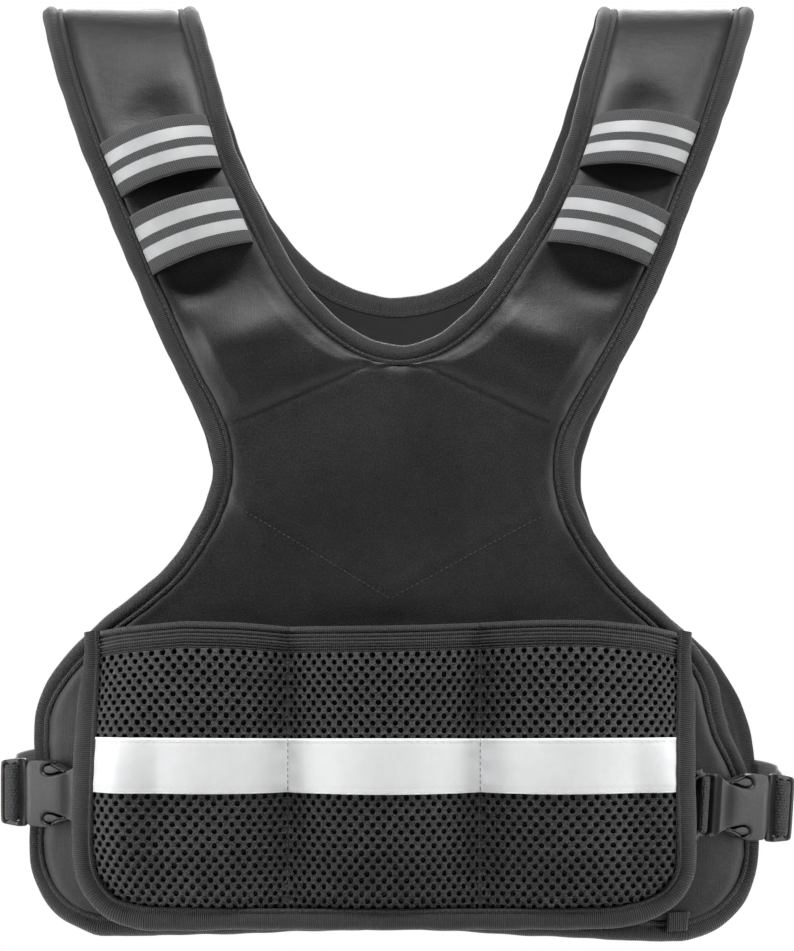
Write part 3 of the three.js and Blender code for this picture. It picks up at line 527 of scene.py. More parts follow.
def plain_thread(name, colour, rough=0.5):
    m = Mat(name)
    o = m.obj()
    twist = m.noise(o, 1800, 2, 0.6)
    m.set(Base_Color=m.mix(twist, tuple(c * 0.7 for c in colour), tuple(c * 1.3 for c in colour)),
          Roughness=m.ramp(twist, 0.3, 0.7, rough - 0.08, rough + 0.08), Specular_IOR_Level=0.5, Sheen_Weight=0.2)
    m.set(Normal=m.bump(twist, 0.0001, 0.6))
    return m.m


NEO = knit("neoprene", (0.0065, 0.0065, 0.0071), (0.037, 0.037, 0.0388), 0.47, 0.2, 0.00011, 1.7, 1000)
NEO_IN = knit("neoprene_lining", (0.009, 0.009, 0.010), (0.020, 0.020, 0.0215), 0.58, 0.35)
BIND = ribbed("binding_tape", (0.003, 0.003, 0.0034), (0.037, 0.037, 0.0385))
MESH_M = knit("air_mesh_yarn", (0.008, 0.008, 0.0088), (0.11, 0.11, 0.115), 0.55, 0.35, 0.0006, 1.4, 1000)
# the back cloth is a real layer, but its near-black colour, darker than the yarn, is painted shade inside the mesh's
# holes
BACKING_SHADE = knit("mesh_backing", (0.002, 0.002, 0.0023), (0.005, 0.005, 0.0055), 0.8, 0.05)
ELASTIC_M = ribbed("mouth_elastic", (0.012, 0.012, 0.013), (0.05, 0.05, 0.053), 0.0011, 0.6, 0.3)
BAND_M = banded("shoulder_band")
STRIP_M = beaded("reflective_strip")
PLASTIC = moulded("buckle_plastic")
WEB_M = woven("strap_webbing", (0.008, 0.008, 0.009), (0.038, 0.038, 0.041))
THREAD = plain_thread("dark_thread", (0.024, 0.024, 0.0255))
THREAD_PALE = plain_thread("pale_thread", (0.76, 0.76, 0.76))
THREAD_GREY = plain_thread("seam_thread", (0.52, 0.52, 0.53))

# ---------------------------------------------------------------- panels
STEP = 8
HEX = [  # seams of the chest's six-sided patch, as x and z of their ends
    ((-11.7, -192), (-32.3, -201)), ((-32.3, -201), (-89, -224.8)), ((11.7, -193), (30.7, -201)), ((30.7, -201), (85.2, -225.9)),
    ((-89, -265.6), (-40.8, -295.3)), ((-40.8, -295.3), (-3.7, -318)), ((-3.7, -318), (65.2, -279.9)), ((65.2, -279.9), (86.9, -269.3)),
]
ABOVE = [(-150, -250.5), (-89, -224.8), (-32.3, -201), (-11.7, -192), (0, -188), (11.7, -193), (30.7, -201), (85.2, -225.9), (150, -255.5)]
BELOW = [(-150, -228), (-89, -265.6), (-40.8, -295.3), (-3.7, -318), (65.2, -279.9), (86.9, -269.3), (150, -238)]
SHAPERS = [  # broad soft folds and swells: x, z, length along, width across, lean in degrees, height
    (-122, -30, 60, 20, -20, 1.2), (-70, -200, 34, 11, 52, 1.6), (66, -200, 34, 11, -52, 1.5),
    (-52, -178, 30, 9, 40, -1.1), (50, -178, 30, 9, -40, -1.1), (-104, -246, 22, 6, 84, -0.7), (98, -246, 22, 6, -84, -0.7),
    (-30, -330, 60, 18, 4, -1.0), (120, -40, 60, 20, 20, 1.1),
    (-82, -181, 36, 14, 22, 5.0), (78, -182, 36, 14, -22, 4.8), 
    (-134, -60, 10, 7, 25, -6.5), (138, -57, 10, 7, -25, -6.0), (-97, -149, 20, 9, 25, -4.0), (98, -148, 20, 9, -25, -4.0), (-128, -46, 22, 9, 25, 1.3), (132, -44, 22, 9, -25, 1.3),
    (-60, -305, 26, 16, -32, 1.3), (58, -306, 26, 16, 30, 1.3), (0, -250, 66, 44, 0, 1.6),
]


def from_segment(x, z, a, b):
    ax, az = a
    dx, dz = b[0] - ax, b[1] - az
    t = np.clip(((x - ax) * dx + (z - az) * dz) / (dx * dx + dz * dz), 0, 1)
    return np.hypot(x - ax - t * dx, z - az - t * dz)


def front_relief(x, z, edge):
    """Extra height of the front panel's face: dents, seams, folds and the pinch at its tapes."""
    rim = np.clip(edge / 14, 0, 1)
    d = np.zeros_like(x)
    for sx, sz, r, depth in SPOTS:
        d += depth * np.exp(-((x - sx) ** 2 + (z - sz) ** 2) / r ** 2)
    for sx, sz, a, b, lean, h in SHAPERS:
        c, s = math.cos(math.radians(lean)), math.sin(math.radians(lean))
        p, q = (x - sx) * c + (z - sz) * s, -(x - sx) * s + (z - sz) * c
        d += h * np.exp(-(p / a) ** 2 - (q / b) ** 2)
    # the cloth puffs up just above the patch's upper seams and drops away just below its lower ones
    s = np.clip((z - np.interp(x, *zip(*ABOVE))) * 0.92, 0, None) / 13
    d += 3.6 * s * np.exp(1 - s)
    top, foot = np.interp(x, *zip(*ABOVE)), np.interp(x, *zip(*BELOW))
    s = np.clip((foot - z) * 0.85, 0, None)
    d += 4.2 * np.clip((top - z) / np.maximum(top - foot, 10), 0, 1) * np.exp(-s / 11)
    d = d * rim
    near = np.min([from_segment(x, z, a, b) for a, b in HEX], 0)
    inside = np.exp(-(near / 2.2) ** 2)
    d += -0.34 * inside + 0.12 * np.exp(-((near - 4.5) / 3.5) ** 2)
    d += 0.35 * ripple(x, z, 3, 42) * rim
    d = np.where(d < 0, -3.7 * np.tanh(-d / 3.7), d)
    d += -1.25 * np.exp(-(edge / 2.6) ** 2) + 0.35 * np.exp(-((edge - 7) / 4) ** 2)
    d += 0.16 * ripple(x, z, 5, 5.5) * np.exp(-((edge - 3.5) / 4.5) ** 2)
    return d


def back_relief(x, z, edge):
    rim = np.clip(edge / 14, 0, 1)
    d = 0.5 * ripple(x, z, 8, 55) * rim
    # one yoke seam across the shoulder blades and one up the middle
    near = np.minimum(np.abs(z + 212 + 10 * (x / 100) ** 2), np.where(z < -214, np.abs(x), 99))
    d += -0.7 * np.exp(-(near / 2.0) ** 2) + 0.3 * np.exp(-((near - 4.2) / 3.2) ** 2)
    d += -1.25 * np.exp(-(edge / 2.6) ** 2) + 0.35 * np.exp(-((edge - 7) / 4) ** 2)
    return d


def half_panel(rows, side, neck, cols=46):
    """Points of one half: outer face, inner face, uv."""
    k = np.linspace(0, 1, cols)
    t = 0.5 - 0.5 * np.cos(np.pi * k)
    t = 0.62 * t + 0.38 * k
    ox, oz, ix, iz = (rows[:, [c]] for c in range(4))
    x, z = ox + (ix - ox) * t, oz + (iz - oz) * t
    joined = (np.arange(len(rows)) >= neck)[:, None]
    base = at(x, z, np.zeros_like(x), side)
    across = np.linalg.norm(np.diff(base, axis=1), axis=2)
    run = np.concatenate([np.zeros((len(rows), 1)), np.cumsum(across, 1)], 1)
    hem = lengths(base[:, 0])[-1] - lengths(base[:, 0])
    edge = np.minimum(run, np.where(joined, 1e3, run[:, -1:] - run))
    # distance to the neck's tape for the rows just under the neckline's foot, and to the hem
    curve = rows[max(0, neck - 30):neck + 1, 2:]
    low = slice(neck, neck + 14)
    if neck < len(rows) - 1:
        far = np.hypot(x[low][..., None] - curve[:, 0], z[low][..., None] - curve[:, 1]).min(-1)
        edge[low] = np.minimum(edge[low], far)
    edge = np.minimum(edge, (z - z[-1:]) * 1.0)
    relief = front_relief(x, z, edge) if side < 0 else back_relief(x, z, edge)
    outer = on_side(at(x, z, PANEL + relief, side), side)
    inner = on_side(at(x, z, 0.35 * np.exp(-(edge / 3) ** 2), side), side)
    u = ix + np.sign(ox - ix) * (run[:, -1:] - run)
    v = level(z) * ARCH
    return outer, inner, np.stack([u, v], -1) / 1000, edge


def add_panel(bag, left, right, side, neck):
    for rows, flip in ((left, side > 0), (right, side < 0)):
        outer, inner, uv, _ = half_panel(rows, side, neck)
        r, c = outer.shape[:2]
        f = not flip
        bag.add(outer, grid_faces(r, c, f), uv, 0)
        bag.add(inner, grid_faces(r, c, not f), uv, 1)
        for sel, turn in (((0, slice(None)), f), ((r - 1, slice(None)), not f), ((slice(None), 0), not f),
                          ((slice(0, neck + 1), c - 1), f)):
            o, n, u = outer[sel], inner[sel], uv[sel]
            k = len(o)
            a = np.arange(k - 1)
            q = np.stack([a, a + 1, a + k + 1, a + k], -1)
            bag.add(np.concatenate([o, n]), q[:, ::-1] if turn else q, np.concatenate([u, u]), 0)


def weld(ob, dist=2e-6):
    import bmesh
    bm = bmesh.new()
    bm.from_mesh(ob.data)
    bmesh.ops.remove_doubles(bm, verts=bm.verts, dist=dist)
    bmesh.ops.recalc_face_normals(bm, faces=bm.faces)
    bm.to_mesh(ob.data)
    bm.free()
    ob.data.update()


front_left, front_right = denser(FRONT_LEFT, STEP), denser(FRONT_RIGHT, STEP)
back_right = denser(BACK_HALF, STEP)
F_NECK, B_NECK = 10 * STEP, 10 * STEP
front_left[F_NECK:, 2] = front_right[F_NECK:, 2] = 1.0
front_right[F_NECK:, 3] = front_left[F_NECK:, 3]
back_right[B_NECK:, 2] = 0.0
back_left = back_right * np.array([-1, 1, -1, 1])


def neckline(left, right, left_rows, right_rows):
    """One smooth curve round the neck, which both halves' inner edges then follow."""
    joined = np.concatenate([np.array(left, float)[:11, 2:], np.array(right, float)[:10, 2:][::-1]])
    c = denser(joined, STEP)
    left_rows[:F_NECK + 1, 2:] = c[:F_NECK + 1]
    right_rows[:F_NECK + 1, 2:] = c[::-1][:F_NECK + 1]
    return c


front_neck = neckline(FRONT_LEFT, FRONT_RIGHT, front_left, front_right)
back_neck = neckline(np.array(BACK_HALF) * [-1, 1, -1, 1], BACK_HALF, back_left, back_right)

pieces = {}
bag = Bag()
add_panel(bag, front_left, front_right, -1, F_NECK)
pieces["front_panel_cloth"] = bag.piece("front_panel_cloth", [NEO, NEO_IN])
bag = Bag()
add_panel(bag, back_left, back_right, 1, B_NECK)
pieces["back_panel_cloth"] = bag.piece("back_panel_cloth", [NEO, NEO_IN])

# ---------------------------------------------------------------- edge tapes
TAPE_SECTION = [  # p away from the panel's edge, q outward
    (-1.35, 4.35), (-1.15, 5.0), (-0.35, 5.5), (0.5, 5.5), (1.15, 5.25), (1.55, 4.75), (2.1, 5.15), (3.1, 6.05), (4.6, 6.75), (6.2, 6.8),
    (7.7, 6.15), (8.9, 5.05), (9.6, 3.7), (9.8, 2.4), (9.4, 0.95), (8.3, -0.35), (6.4, -1.15), (3.6, -1.15), (1.9, -0.45), (0.7, -0.55),
    (-0.6, -0.55), (-1.3, -0.25), (-1.2, 0.05), (0.2, 0.25), (0.35, 4.1), (-1.0, 4.3),
]


def tape_piece(name, node, path, side, turn, seed, stitch=True):
    p = resample(path, 1.9)
    base, normal, away, along, dist = frames_along(p, side, turn)
    sec = np.repeat(np.array(TAPE_SECTION)[None], len(p), 0)
    r = np.random.default_rng(seed)
    wob = 1 + 0.022 * np.sin(dist / 9.0 + r.uniform(0, 6)) + 0.018 * np.sin(dist / 3.7 + r.uniform(0, 6)) + 0.02 * np.sin(dist / 31 + 1)
    fat = 0.13 * np.sin(dist / 6.1 + r.uniform(0, 6)) + 0.1 * np.sin(dist / 2.6 + r.uniform(0, 6)) - 0.05
    out = sec[..., 0] > 2.5
    sec[..., 0] = np.where(out, sec[..., 0] * np.minimum(1.0, 0.975 * wob)[:, None], sec[..., 0])
    top = (sec[..., 1] > 4.6) & (sec[..., 0] > 1.5)
    sec[..., 1] = sec[..., 1] + np.where(top, fat[:, None], 0)
    b = Bag()
    add_tape(b, base, normal, away, dist, sec, side)
    lip = on_side(base + away * 0.35 + normal * 5.5, side)
    if stitch:
        add_stitches(b, lip, normal, 2.1, 3.0, 0.7, 0.36, 1)
        low = on_side(base + away * 0.8 - normal * 0.5, side)
        add_stitches(b, low, -normal, 2.2, 3.1, 0.62, 0.3, 1)
    ob = b.piece(name, [BIND, THREAD])
    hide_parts(node)
    pieces[name] = ob
    return ob


def hem(rows, stop):
    r = rows[-1]
    t = np.linspace(0, 1, 40)[1:]
    x, z = r[0] + (r[2] - r[0]) * t, r[1] + (r[3] - r[1]) * t
    x[-1] = stop
    return np.stack([x, z], -1)


for name, node, rows, side, turn, stop, seed in (
        ("front_edge_tape_left", "edge_binding_front_left", front_left, -1, -1, 0.0, 1),
        ("front_edge_tape_right", "edge_binding_front_right", front_right, -1, 1, -0.2, 2),
        ("back_edge_tape_left", "edge_binding_back_left", back_left, 1, 1, 0.3, 3),
        ("back_edge_tape_right", "edge_binding_back_right", back_right, 1, -1, 0.0, 4)):
    tape_piece(name, node, np.concatenate([rows[:, :2], hem(rows, stop)]), side, turn, seed)


tape_piece("front_neck_tape", "neck_binding_front", front_neck, -1, 1, 5)
tape_piece("back_neck_tape", "neck_binding_back", back_neck, 1, -1, 6)

# seam threads on the chest and the back, joined to nothing but lying in their grooves
bag = Bag()
border = np.concatenate([resample(p, 1.0) for p in (front_left[:, :2], front_right[:, :2], front_neck)])
for a, b in HEX:
    n = max(3, int(math.hypot(b[0] - a[0], b[1] - a[1]) / 2))
    t = np.linspace(0, 1, n)
    x, z = a[0] + (b[0] - a[0]) * t, a[1] + (b[1] - a[1]) * t
    far = np.hypot(x[:, None] - border[:, 0], z[:, None] - border[:, 1]).min(1)
    add_stitches(bag, at(x, z, PANEL + front_relief(x, z, far) - 0.02, -1), outward(x, level(z), -1), 2.0, 2.9, 0.5, 0.28)
pieces["chest_seam_threads"] = bag.piece("chest_seam_threads", [THREAD])
bag = Bag()
for x, z in ((np.linspace(-98, 98, 90), None), (np.zeros(110), np.linspace(-214, -474, 110))):
    if z is None:
        z = -212 - 10 * (x / 100) ** 2
    far = np.full(len(x), 30.0)
    add_stitches(bag, at(x, z, PANEL + back_relief(x, z, far) - 0.02, 1), outward(x, level(z), 1), 2.0, 2.9, 0.5, 0.28)
pieces["back_seam_threads"] = bag.piece("back_seam_threads", [THREAD])

# ---------------------------------------------------------------- pockets
PK = np.array(POCKET, float)


def over_buckle(x, z):
    zb = np.where(x < 0, BUCKLES[-1][0], BUCKLES[1][0])
    return LIFT * smooth((np.abs(x) - 118) / 24) * np.exp(-np.abs((z - zb) / 38) ** 3)


def clear_at(x, z):
    return CLEAR - 1.4 * smooth((140 - np.abs(x)) / 25) * smooth((-350 - z) / 15) * smooth((z + 472) / 12) + over_buckle(x, z)


def pocket_row(z, k):
    """left, right and bulge of the pockets at heights z."""
    return np.interp(-z, -PK[:, 0], PK[:, k])


def rim_shift(x, z):
    """The lifted rim leans outward, so its path comes in by the same amount."""
    return -np.sign(x) * 0.36 * over_buckle(x, z)


MOUTH_LINE = np.array([  # the mouth's edge: x, and how far it dips there
    (-157, -5.2), (-140, -2.7), (-108, 0), (-82, -0.5), (-56, -2.1), (-30, -2.4), (-6, -2.3), (17, -1.6), (45, 0.1), (75, 0.8),
    (101, 0.5), (127, -1.9), (146, -5.6)])


def dipped(x, z):
    return z + np.interp(x, MOUTH_LINE[:, 0], MOUTH_LINE[:, 1]) * smooth((z + 392) / 55)


def lobe_ends(z, k):
    left, right = pocket_row(z, 1), pocket_row(z, 2)
    left, right = left + rim_shift(left, z), right + rim_shift(right, z)
    return [(left, 0 * z + SEAM_L), (0 * z + SEAM_L, 0 * z + SEAM_R), (0 * z + SEAM_R, right)][k]


def pocket_bulge(z):
    top = np.interp(-z, [-EL_TOP, -EL_FOOT], [MOUTH_BULGE, PK[0, 3]])
    return np.where(z > PK[0, 0], top, pocket_row(z, 3))


def pocket_point(k, x, z, extra):
    a, b = lobe_ends(z, k)
    t = np.clip((x - a) / (b - a), 0, 1)
    crown = pocket_bulge(z) * np.power(np.sin(np.pi * t), 0.75)
    # gathers along the upright seams and a lazy unevenness on the crown
    near = np.minimum(t, 1 - t) * 100
    pull = 0.35 * np.sin(z / 1.9 + 3 * k) * np.exp(-(near / 5.5) ** 2) * smooth(near / 2.0)
    lazy = 0.55 * ripple(x, z, 21 + k, 34) * smooth(near / 14) * smooth((z + 478) / 12) * smooth((-346 - z) / 14)
    return at(x, dipped(x, z), clear_at(x, z) + crown + pull + lazy + extra, -1)


ROW_H = (PK[0, 0] - PK[-1, 0]) / 37
HOLES = 19


def hole_point(k, u, v, extra):
    """u in hole pitches across a pocket, v in rows down from its top."""
    z = PK[0, 0] - v * ROW_H
    full = [(-157.5, SEAM_L), (SEAM_L, SEAM_R), (SEAM_R, 145.9)][k]
    x = full[0] + (full[1] - full[0]) * ARC(np.clip(u / HOLES, 0, 1))
    a, b = lobe_ends(z, k)
    return pocket_point(k, np.clip(x, a, b), z, extra)


_t = np.linspace(0, 1, 400)
_y = 20 * np.power(np.sin(np.pi * _t), 0.75)
_s = lengths(np.stack([_t * 100, _y], -1))


def ARC(u):
    return np.interp(u, _s / _s[-1], _t)


def mesh_piece(k):
    b = Bag()
    cells = []
    for j in range(37):
        if j % 2 == 0:
            cells += [(i + 0.5, j + 0.5) for i in range(HOLES)]
        else:
            cells += [(i + 1.0, j + 0.5) for i in range(HOLES - 1)]
    c = np.array(cells)
    ring = np.array([(-.5, -.5), (-.25, -.5), (0, -.5), (.25, -.5), (.5, -.5), (.5, 0), (.5, .5), (.25, .5), (0, .5), (-.25, .5), (-.5, .5), (-.5, 0)])
    ang = np.arctan2(ring[:, 1] * ROW_H * 1.2, ring[:, 0] * 5.46)
    m = len(ring)
    jit = np.random.default_rng(40 + k)
    wob = jit.uniform(-1, 1, (len(c), 4))
    rx, rz = 1.36 / 5.46, 1.56 / ROW_H
    layers = []
    for share, off in ((None, MESH - 0.25), (1.26, MESH + 0.16), (1.08, MESH - 0.25), (0.96, MESH - 0.6), (0.94, MESH - 1.15)):
        if share is None:
            uv = c[:, None] + ring[None]
        else:
            ex = (1 + 0.09 * wob[:, :1]) * rx * share
            ez = (1 + 0.09 * wob[:, 1:2]) * rz * share
            uv = c[:, None] + np.stack([np.cos(ang)[None] * ex, np.sin(ang)[None] * ez], -1) + 0.02 * wob[:, None, 2:4]
        layers.append(hole_point(k, uv[..., 0], uv[..., 1], off))
        if share is None:
            tex0 = uv * np.array([5.46, ROW_H]) / 1000
        layers[-1] = (layers[-1], uv * np.array([5.46, ROW_H]) / 1000)
    n = len(c)
    pts = np.stack([p for p, _ in layers], 1)  # (n, 5, m, 3)
    tex = np.stack([t for _, t in layers], 1)
    faces = []
    for r in range(len(layers) - 1):
        for q in range(m):
            a, d = r * m + q, r * m + (q + 1) % m
            faces.append((a, d, d + m, a + m))
    f = (np.array(faces)[None] + (np.arange(n) * m * len(layers))[:, None, None]).reshape(-1, 4)
    b.add(pts.reshape(-1, 3), f, tex.reshape(-1, 2), 0)
    # half cells at the ends of every other row
    for j in range(1, 37, 2):
        for u0, u1, us in ((0, 0.5, (0, 0.25, 0.5)), (HOLES - 0.5, HOLES, (HOLES - 0.5, HOLES - 0.25, HOLES))):
            us = np.array(us)
            g = np.stack(np.meshgrid([j, j + 0.5, j + 1], us, indexing="ij"), -1)
            p = hole_point(k, g[..., 1], g[..., 0], MESH - 0.25)
            b.add(p, grid_faces(3, 3), g[..., ::-1] * np.array([5.46, ROW_H]) / 1000, 0)
    for uu in (np.zeros(75), np.full(75, float(HOLES))):
        hi, lo = hole_point(k, uu, np.linspace(0, 37, 75), MESH - 0.25), hole_point(k, uu, np.linspace(0, 37, 75), 1.2)
        b.add(np.stack([hi, lo], 1), grid_faces(75, 2), None, 0)
    for vv in (0.0, 37.0):
        uu = np.linspace(0, HOLES, 77)
        hi, lo = hole_point(k, uu, np.full(77, vv), MESH - 0.25), hole_point(k, uu, np.full(77, vv), 1.2)
        b.add(np.stack([hi, lo], 1), grid_faces(77, 2), None, 0)
    return b


def backing_piece(k):
    """The spacer mesh's closed back cloth; its near-black colour is painted shade seen through the holes."""
    b = Bag()
    gz, gu = np.meshgrid(np.linspace(0, 37, 75), np.linspace(0, HOLES, 61), indexing="ij")
    back, front = hole_point(k, gu, gz, 0.15), hole_point(k, gu, gz, 1.15)
    add_wall(b, front, back, np.stack([gu * 5.46, gz * ROW_H], -1) / 1000, True)
    return b


LOBE_NAMES = ("left", "middle", "right")
for k, name in enumerate(LOBE_NAMES):
    ob = mesh_piece(k).piece("pocket_cloth_" + name, [MESH_M])
    weld(ob)
    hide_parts("pocket_mesh")
    pieces[ob.name] = ob
    ob = backing_piece(k).piece("pocket_backing_" + name, [BACKING_SHADE])
    weld(ob)
    pieces[ob.name] = ob


def lobe_grid(z, cols, extra, k):
    """A grid over pocket k: z is a column of heights, extra the height over the pocket at each."""
    t = 0.5 - 0.5 * np.cos(np.pi * np.linspace(0, 1, cols))
    t = 0.5 * t + 0.5 * np.linspace(0, 1, cols)
    zz = np.repeat(z[:, None], cols, 1)
    a, b = lobe_ends(zz, k)
    x = a + (b - a) * t[None]
    return pocket_point(k, x, zz, np.repeat(extra[:, None], cols, 1)), x


# the ridged elastic along the mouths
v = np.linspace(0, 1, 41)
EL_PROFILE = 2.3 + 1.1 * np.power(np.clip(np.sin(np.pi * np.clip(v, 0.0, 1)), 0, 1), 0.35)
for centre, w, h in ((0.12, 0.09, 0.45), (0.26, 0.04, -1.7), (0.43, 0.035, -1.1), (0.57, 0.03, -0.9), (0.70, 0.03, -0.9), (0.80, 0.028, -1.5), (0.91, 0.028, -1.4)):
    EL_PROFILE = EL_PROFILE + h * np.exp(-((v - centre) / w) ** 2)
bag = Bag()
zs = EL_TOP + (EL_FOOT - 0.3 - EL_TOP) * v
first = None
for k in range(3):
    outer, x = lobe_grid(zs, 44, EL_PROFILE, k)
    inner, _ = lobe_grid(zs, 44, np.zeros(41), k)
    run = np.cumsum(np.concatenate([np.zeros((41, 1)), np.linalg.norm(np.diff(outer, axis=1), axis=2)], 1), 1)
    uv = np.stack([(x[:, :1] + run) / 1000, np.repeat(-zs[:, None], 44, 1) / 1000], -1)
    shut = [] if k == 1 else []
    add_wall(bag, outer, inner, uv, True, (0, 0, 0), {0: ("last",), 1: ("first", "last"), 2: ("first",)}[k])
ob = bag.piece("mouth_elastic_band", [ELASTIC_M])
weld(ob)
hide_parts("pocket_elastic")
pieces[ob.name] = ob

# the reflective strip over all three pockets, with its stitches
bag = Bag()
strip_threads = Bag()
z0, z1 = -391.0, -418.6
v = np.linspace(0, 1, 25)
zs = z0 + (z1 - z0) * v
lift = MESH + 0.35 + 0.7 - 0.25 * np.exp(-((v * 27.6 - 2.0) / 0.8) ** 2) - 0.25 * np.exp(-((v * 27.6 - 25.6) / 0.8) ** 2)
for k in range(3):
    outer, x = lobe_grid(zs, 60, lift, k)
    inner, _ = lobe_grid(zs, 60, np.full(25, MESH + 0.3), k)
    run = np.cumsum(np.concatenate([np.zeros((25, 1)), np.linalg.norm(np.diff(outer, axis=1), axis=2)], 1), 1)
    uv = np.stack([(x[:, :1] + run) / 1000, np.repeat(v[:, None] * 27.6, 60, 1) / 1000], -1)
    add_wall(bag, outer, inner, uv, True, (0, 0, 0), {0: ("last",), 1: ("first", "last"), 2: ("first",)}[k])
    for zz in (z0 - 2.0, z1 + 2.0):
        g, _ = lobe_grid(np.array([zz]), 90, np.array([MESH + 0.35 + 0.48]), k)
        h, _ = lobe_grid(np.array([zz]), 90, np.array([MESH + 2.35]), k)
        add_stitches(strip_threads, g[0], (h - g)[0], 3.0, 4.2, 0.55, 0.32)
ob = bag.piece("reflective_tape", [STRIP_M])
weld(ob)
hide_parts("reflective_strip")
pieces[ob.name] = ob
pieces["strip_threads"] = strip_threads.piece("strip_threads", [THREAD_PALE])

# the pockets' own tape, round three sides
rim = np.concatenate([
    [(PK[0, 1] - 1.4, EL_TOP - 2)], PK[:, [1, 0]],
    [(x, PK[-1, 0]) for x in np.linspace(PK[-1, 1], PK[-1, 2], 40)[1:-1]],
    PK[::-1][:, [2, 0]], [(PK[0, 2] + 1.4, EL_TOP - 2)]])
rim = resample(rim, 1.9)
for _ in range(6):
    rim[1:-1] = (rim[:-2] + 2 * rim[1:-1] + rim[2:]) / 4
rim[:, 0] += rim_shift(rim[:, 0], rim[:, 1]) * (np.abs(rim[:, 0]) > 118)
rim[:, 1] -= 2.4 * smooth((rim[:, 1] + 352) / 20)
base, normal, away, along, dist = frames_along(rim, -1, -1)
low = clear_at(rim[:, 0], rim[:, 1]) + 0.2 * (rim[:, 1] > -470)
wide = np.where(rim[:, 0] < -100, 12.0, 10.6)
for _ in range(30):
    wide[1:-1] = (wide[:-2] + wide[2:]) / 2
wide *= 1 - 0.36 * smooth((rim[:, 1] + 385) / 52)
thick = 6.35 * (1 - 0.35 * smooth((rim[:, 1] + 343) / 10))
POCKET_SECTION = [  # share of the width, share of the thickness
    (-0.10, 0.82), (-0.08, 0.93), (0.0, 0.98), (0.07, 0.955), (0.11, 0.87), (0.16, 0.90), (0.25, 1.02), (0.40, 1.12), (0.56, 1.13), (0.74, 1.04),
    (0.89, 0.86), (0.985, 0.6), (1.0, 0.42), (0.95, 0.2), (0.84, 0.05), (0.66, 0.0), (0.36, 0.0), (0.12, 0.0), (0.04, 0.03),
    (0.04, 0.42), (-0.09, 0.62),
]
sec = np.repeat(np.array(POCKET_SECTION)[None], len(rim), 0)
sec = np.stack([sec[..., 0] * wide[:, None] * (1 + 0.015 * np.sin(dist / 5 + 1) - 0.015)[:, None],
                low[:, None] + sec[..., 1] * thick[:, None] + np.where(sec[..., 1] > 0.9, 1, 0) * (0.13 * np.sin(dist / 4.3) + 0.1 * np.sin(dist / 2.1))[:, None]], -1)
bag = Bag()
add_tape(bag, base, normal, away, dist, sec, None)
add_stitches(bag, base + away * (wide * 0.01)[:, None] + normal * (low + 0.955 * thick)[:, None], normal, 2.2, 3.1, 0.62, 0.34, 1)
ob = bag.piece("pocket_edge_tape", [BIND, THREAD])
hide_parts("pocket_binding")
pieces[ob.name] = ob

# upright seam threads between the pockets
bag = Bag()
for x0, k in ((SEAM_L, 0), (SEAM_R, 1)):
    for dx in (-0.0,):
        z = np.linspace(EL_TOP - 1, PK[-1, 0] + 1, 120)
        x = np.full(120, x0 + dx)
        hi = np.where((z < z0 + 0.5) & (z > z1 - 0.5), MESH + 1.1, np.where(z > EL_FOOT, 3.1, MESH + 0.02))
        p = at(x, z, clear_at(x, z) + hi, -1)
        add_stitches(bag, p, outward(x, level(z), -1), 2.3, 3.2, 0.6, 0.35)
pieces["pocket_seam_threads"] = bag.piece("pocket_seam_threads", [THREAD])

# ---------------------------------------------------------------- shoulder bands
for name, otx, otz, ofx, ofz, itx, itz, ifx, ifz in BANDS:
    w = np.linspace(0, 1, 31)[:, None]
    t = np.linspace(0, 1, 61)[None]
    ox, oz, ix, iz = otx + (ofx - otx) * w, otz + (ofz - otz) * w, itx + (ifx - itx) * w, itz + (ifz - itz) * w
    inset = 0.9 / np.hypot(ox - ix, oz - iz)
    u = inset + (1 - 2 * inset) * t
    x, z = ox + (ix - ox) * u, oz + (iz - oz) * u
    seed = sum(map(ord, name))
    crown = -1.3 + 11.9 * np.power(np.sin(np.pi * t), 0.72) + 0.45 * ripple(x, z, seed, 22) * np.sin(np.pi * t)
    rib = 0.16 * (np.exp(-((w - 0.21) / 0.012) ** 2) + np.exp(-((w - 0.79) / 0.012) ** 2)) * -1
    rolled = -0.5 * np.exp(-(np.minimum(w, 1 - w) / 0.02) ** 2)
    outer = at(x, z, PANEL + 1.0 + crown + 1.7 + rib + rolled, -1)
    inner = at(x, z, PANEL + 1.0 + crown, -1)
    run = np.cumsum(np.concatenate([np.zeros((31, 1)), np.linalg.norm(np.diff(outer, axis=1), axis=2)], 1), 1) / 1000
    uv = np.stack([run, np.repeat(w * 0.03, 61, 1)], -1)
    bag = Bag()
    add_wall(bag, outer, inner, uv, otx > 0)
    ob = bag.piece("shoulder_band_cloth_" + name, [BAND_M])
    weld(ob)
    side, which = name.split("_")
    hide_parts("shoulder_band_" + name)
    pieces[ob.name] = ob

# ---------------------------------------------------------------- webbing
def curve_through(pts, step=0.6):
    a = denser(pts, 12)
    return resample(a, step)


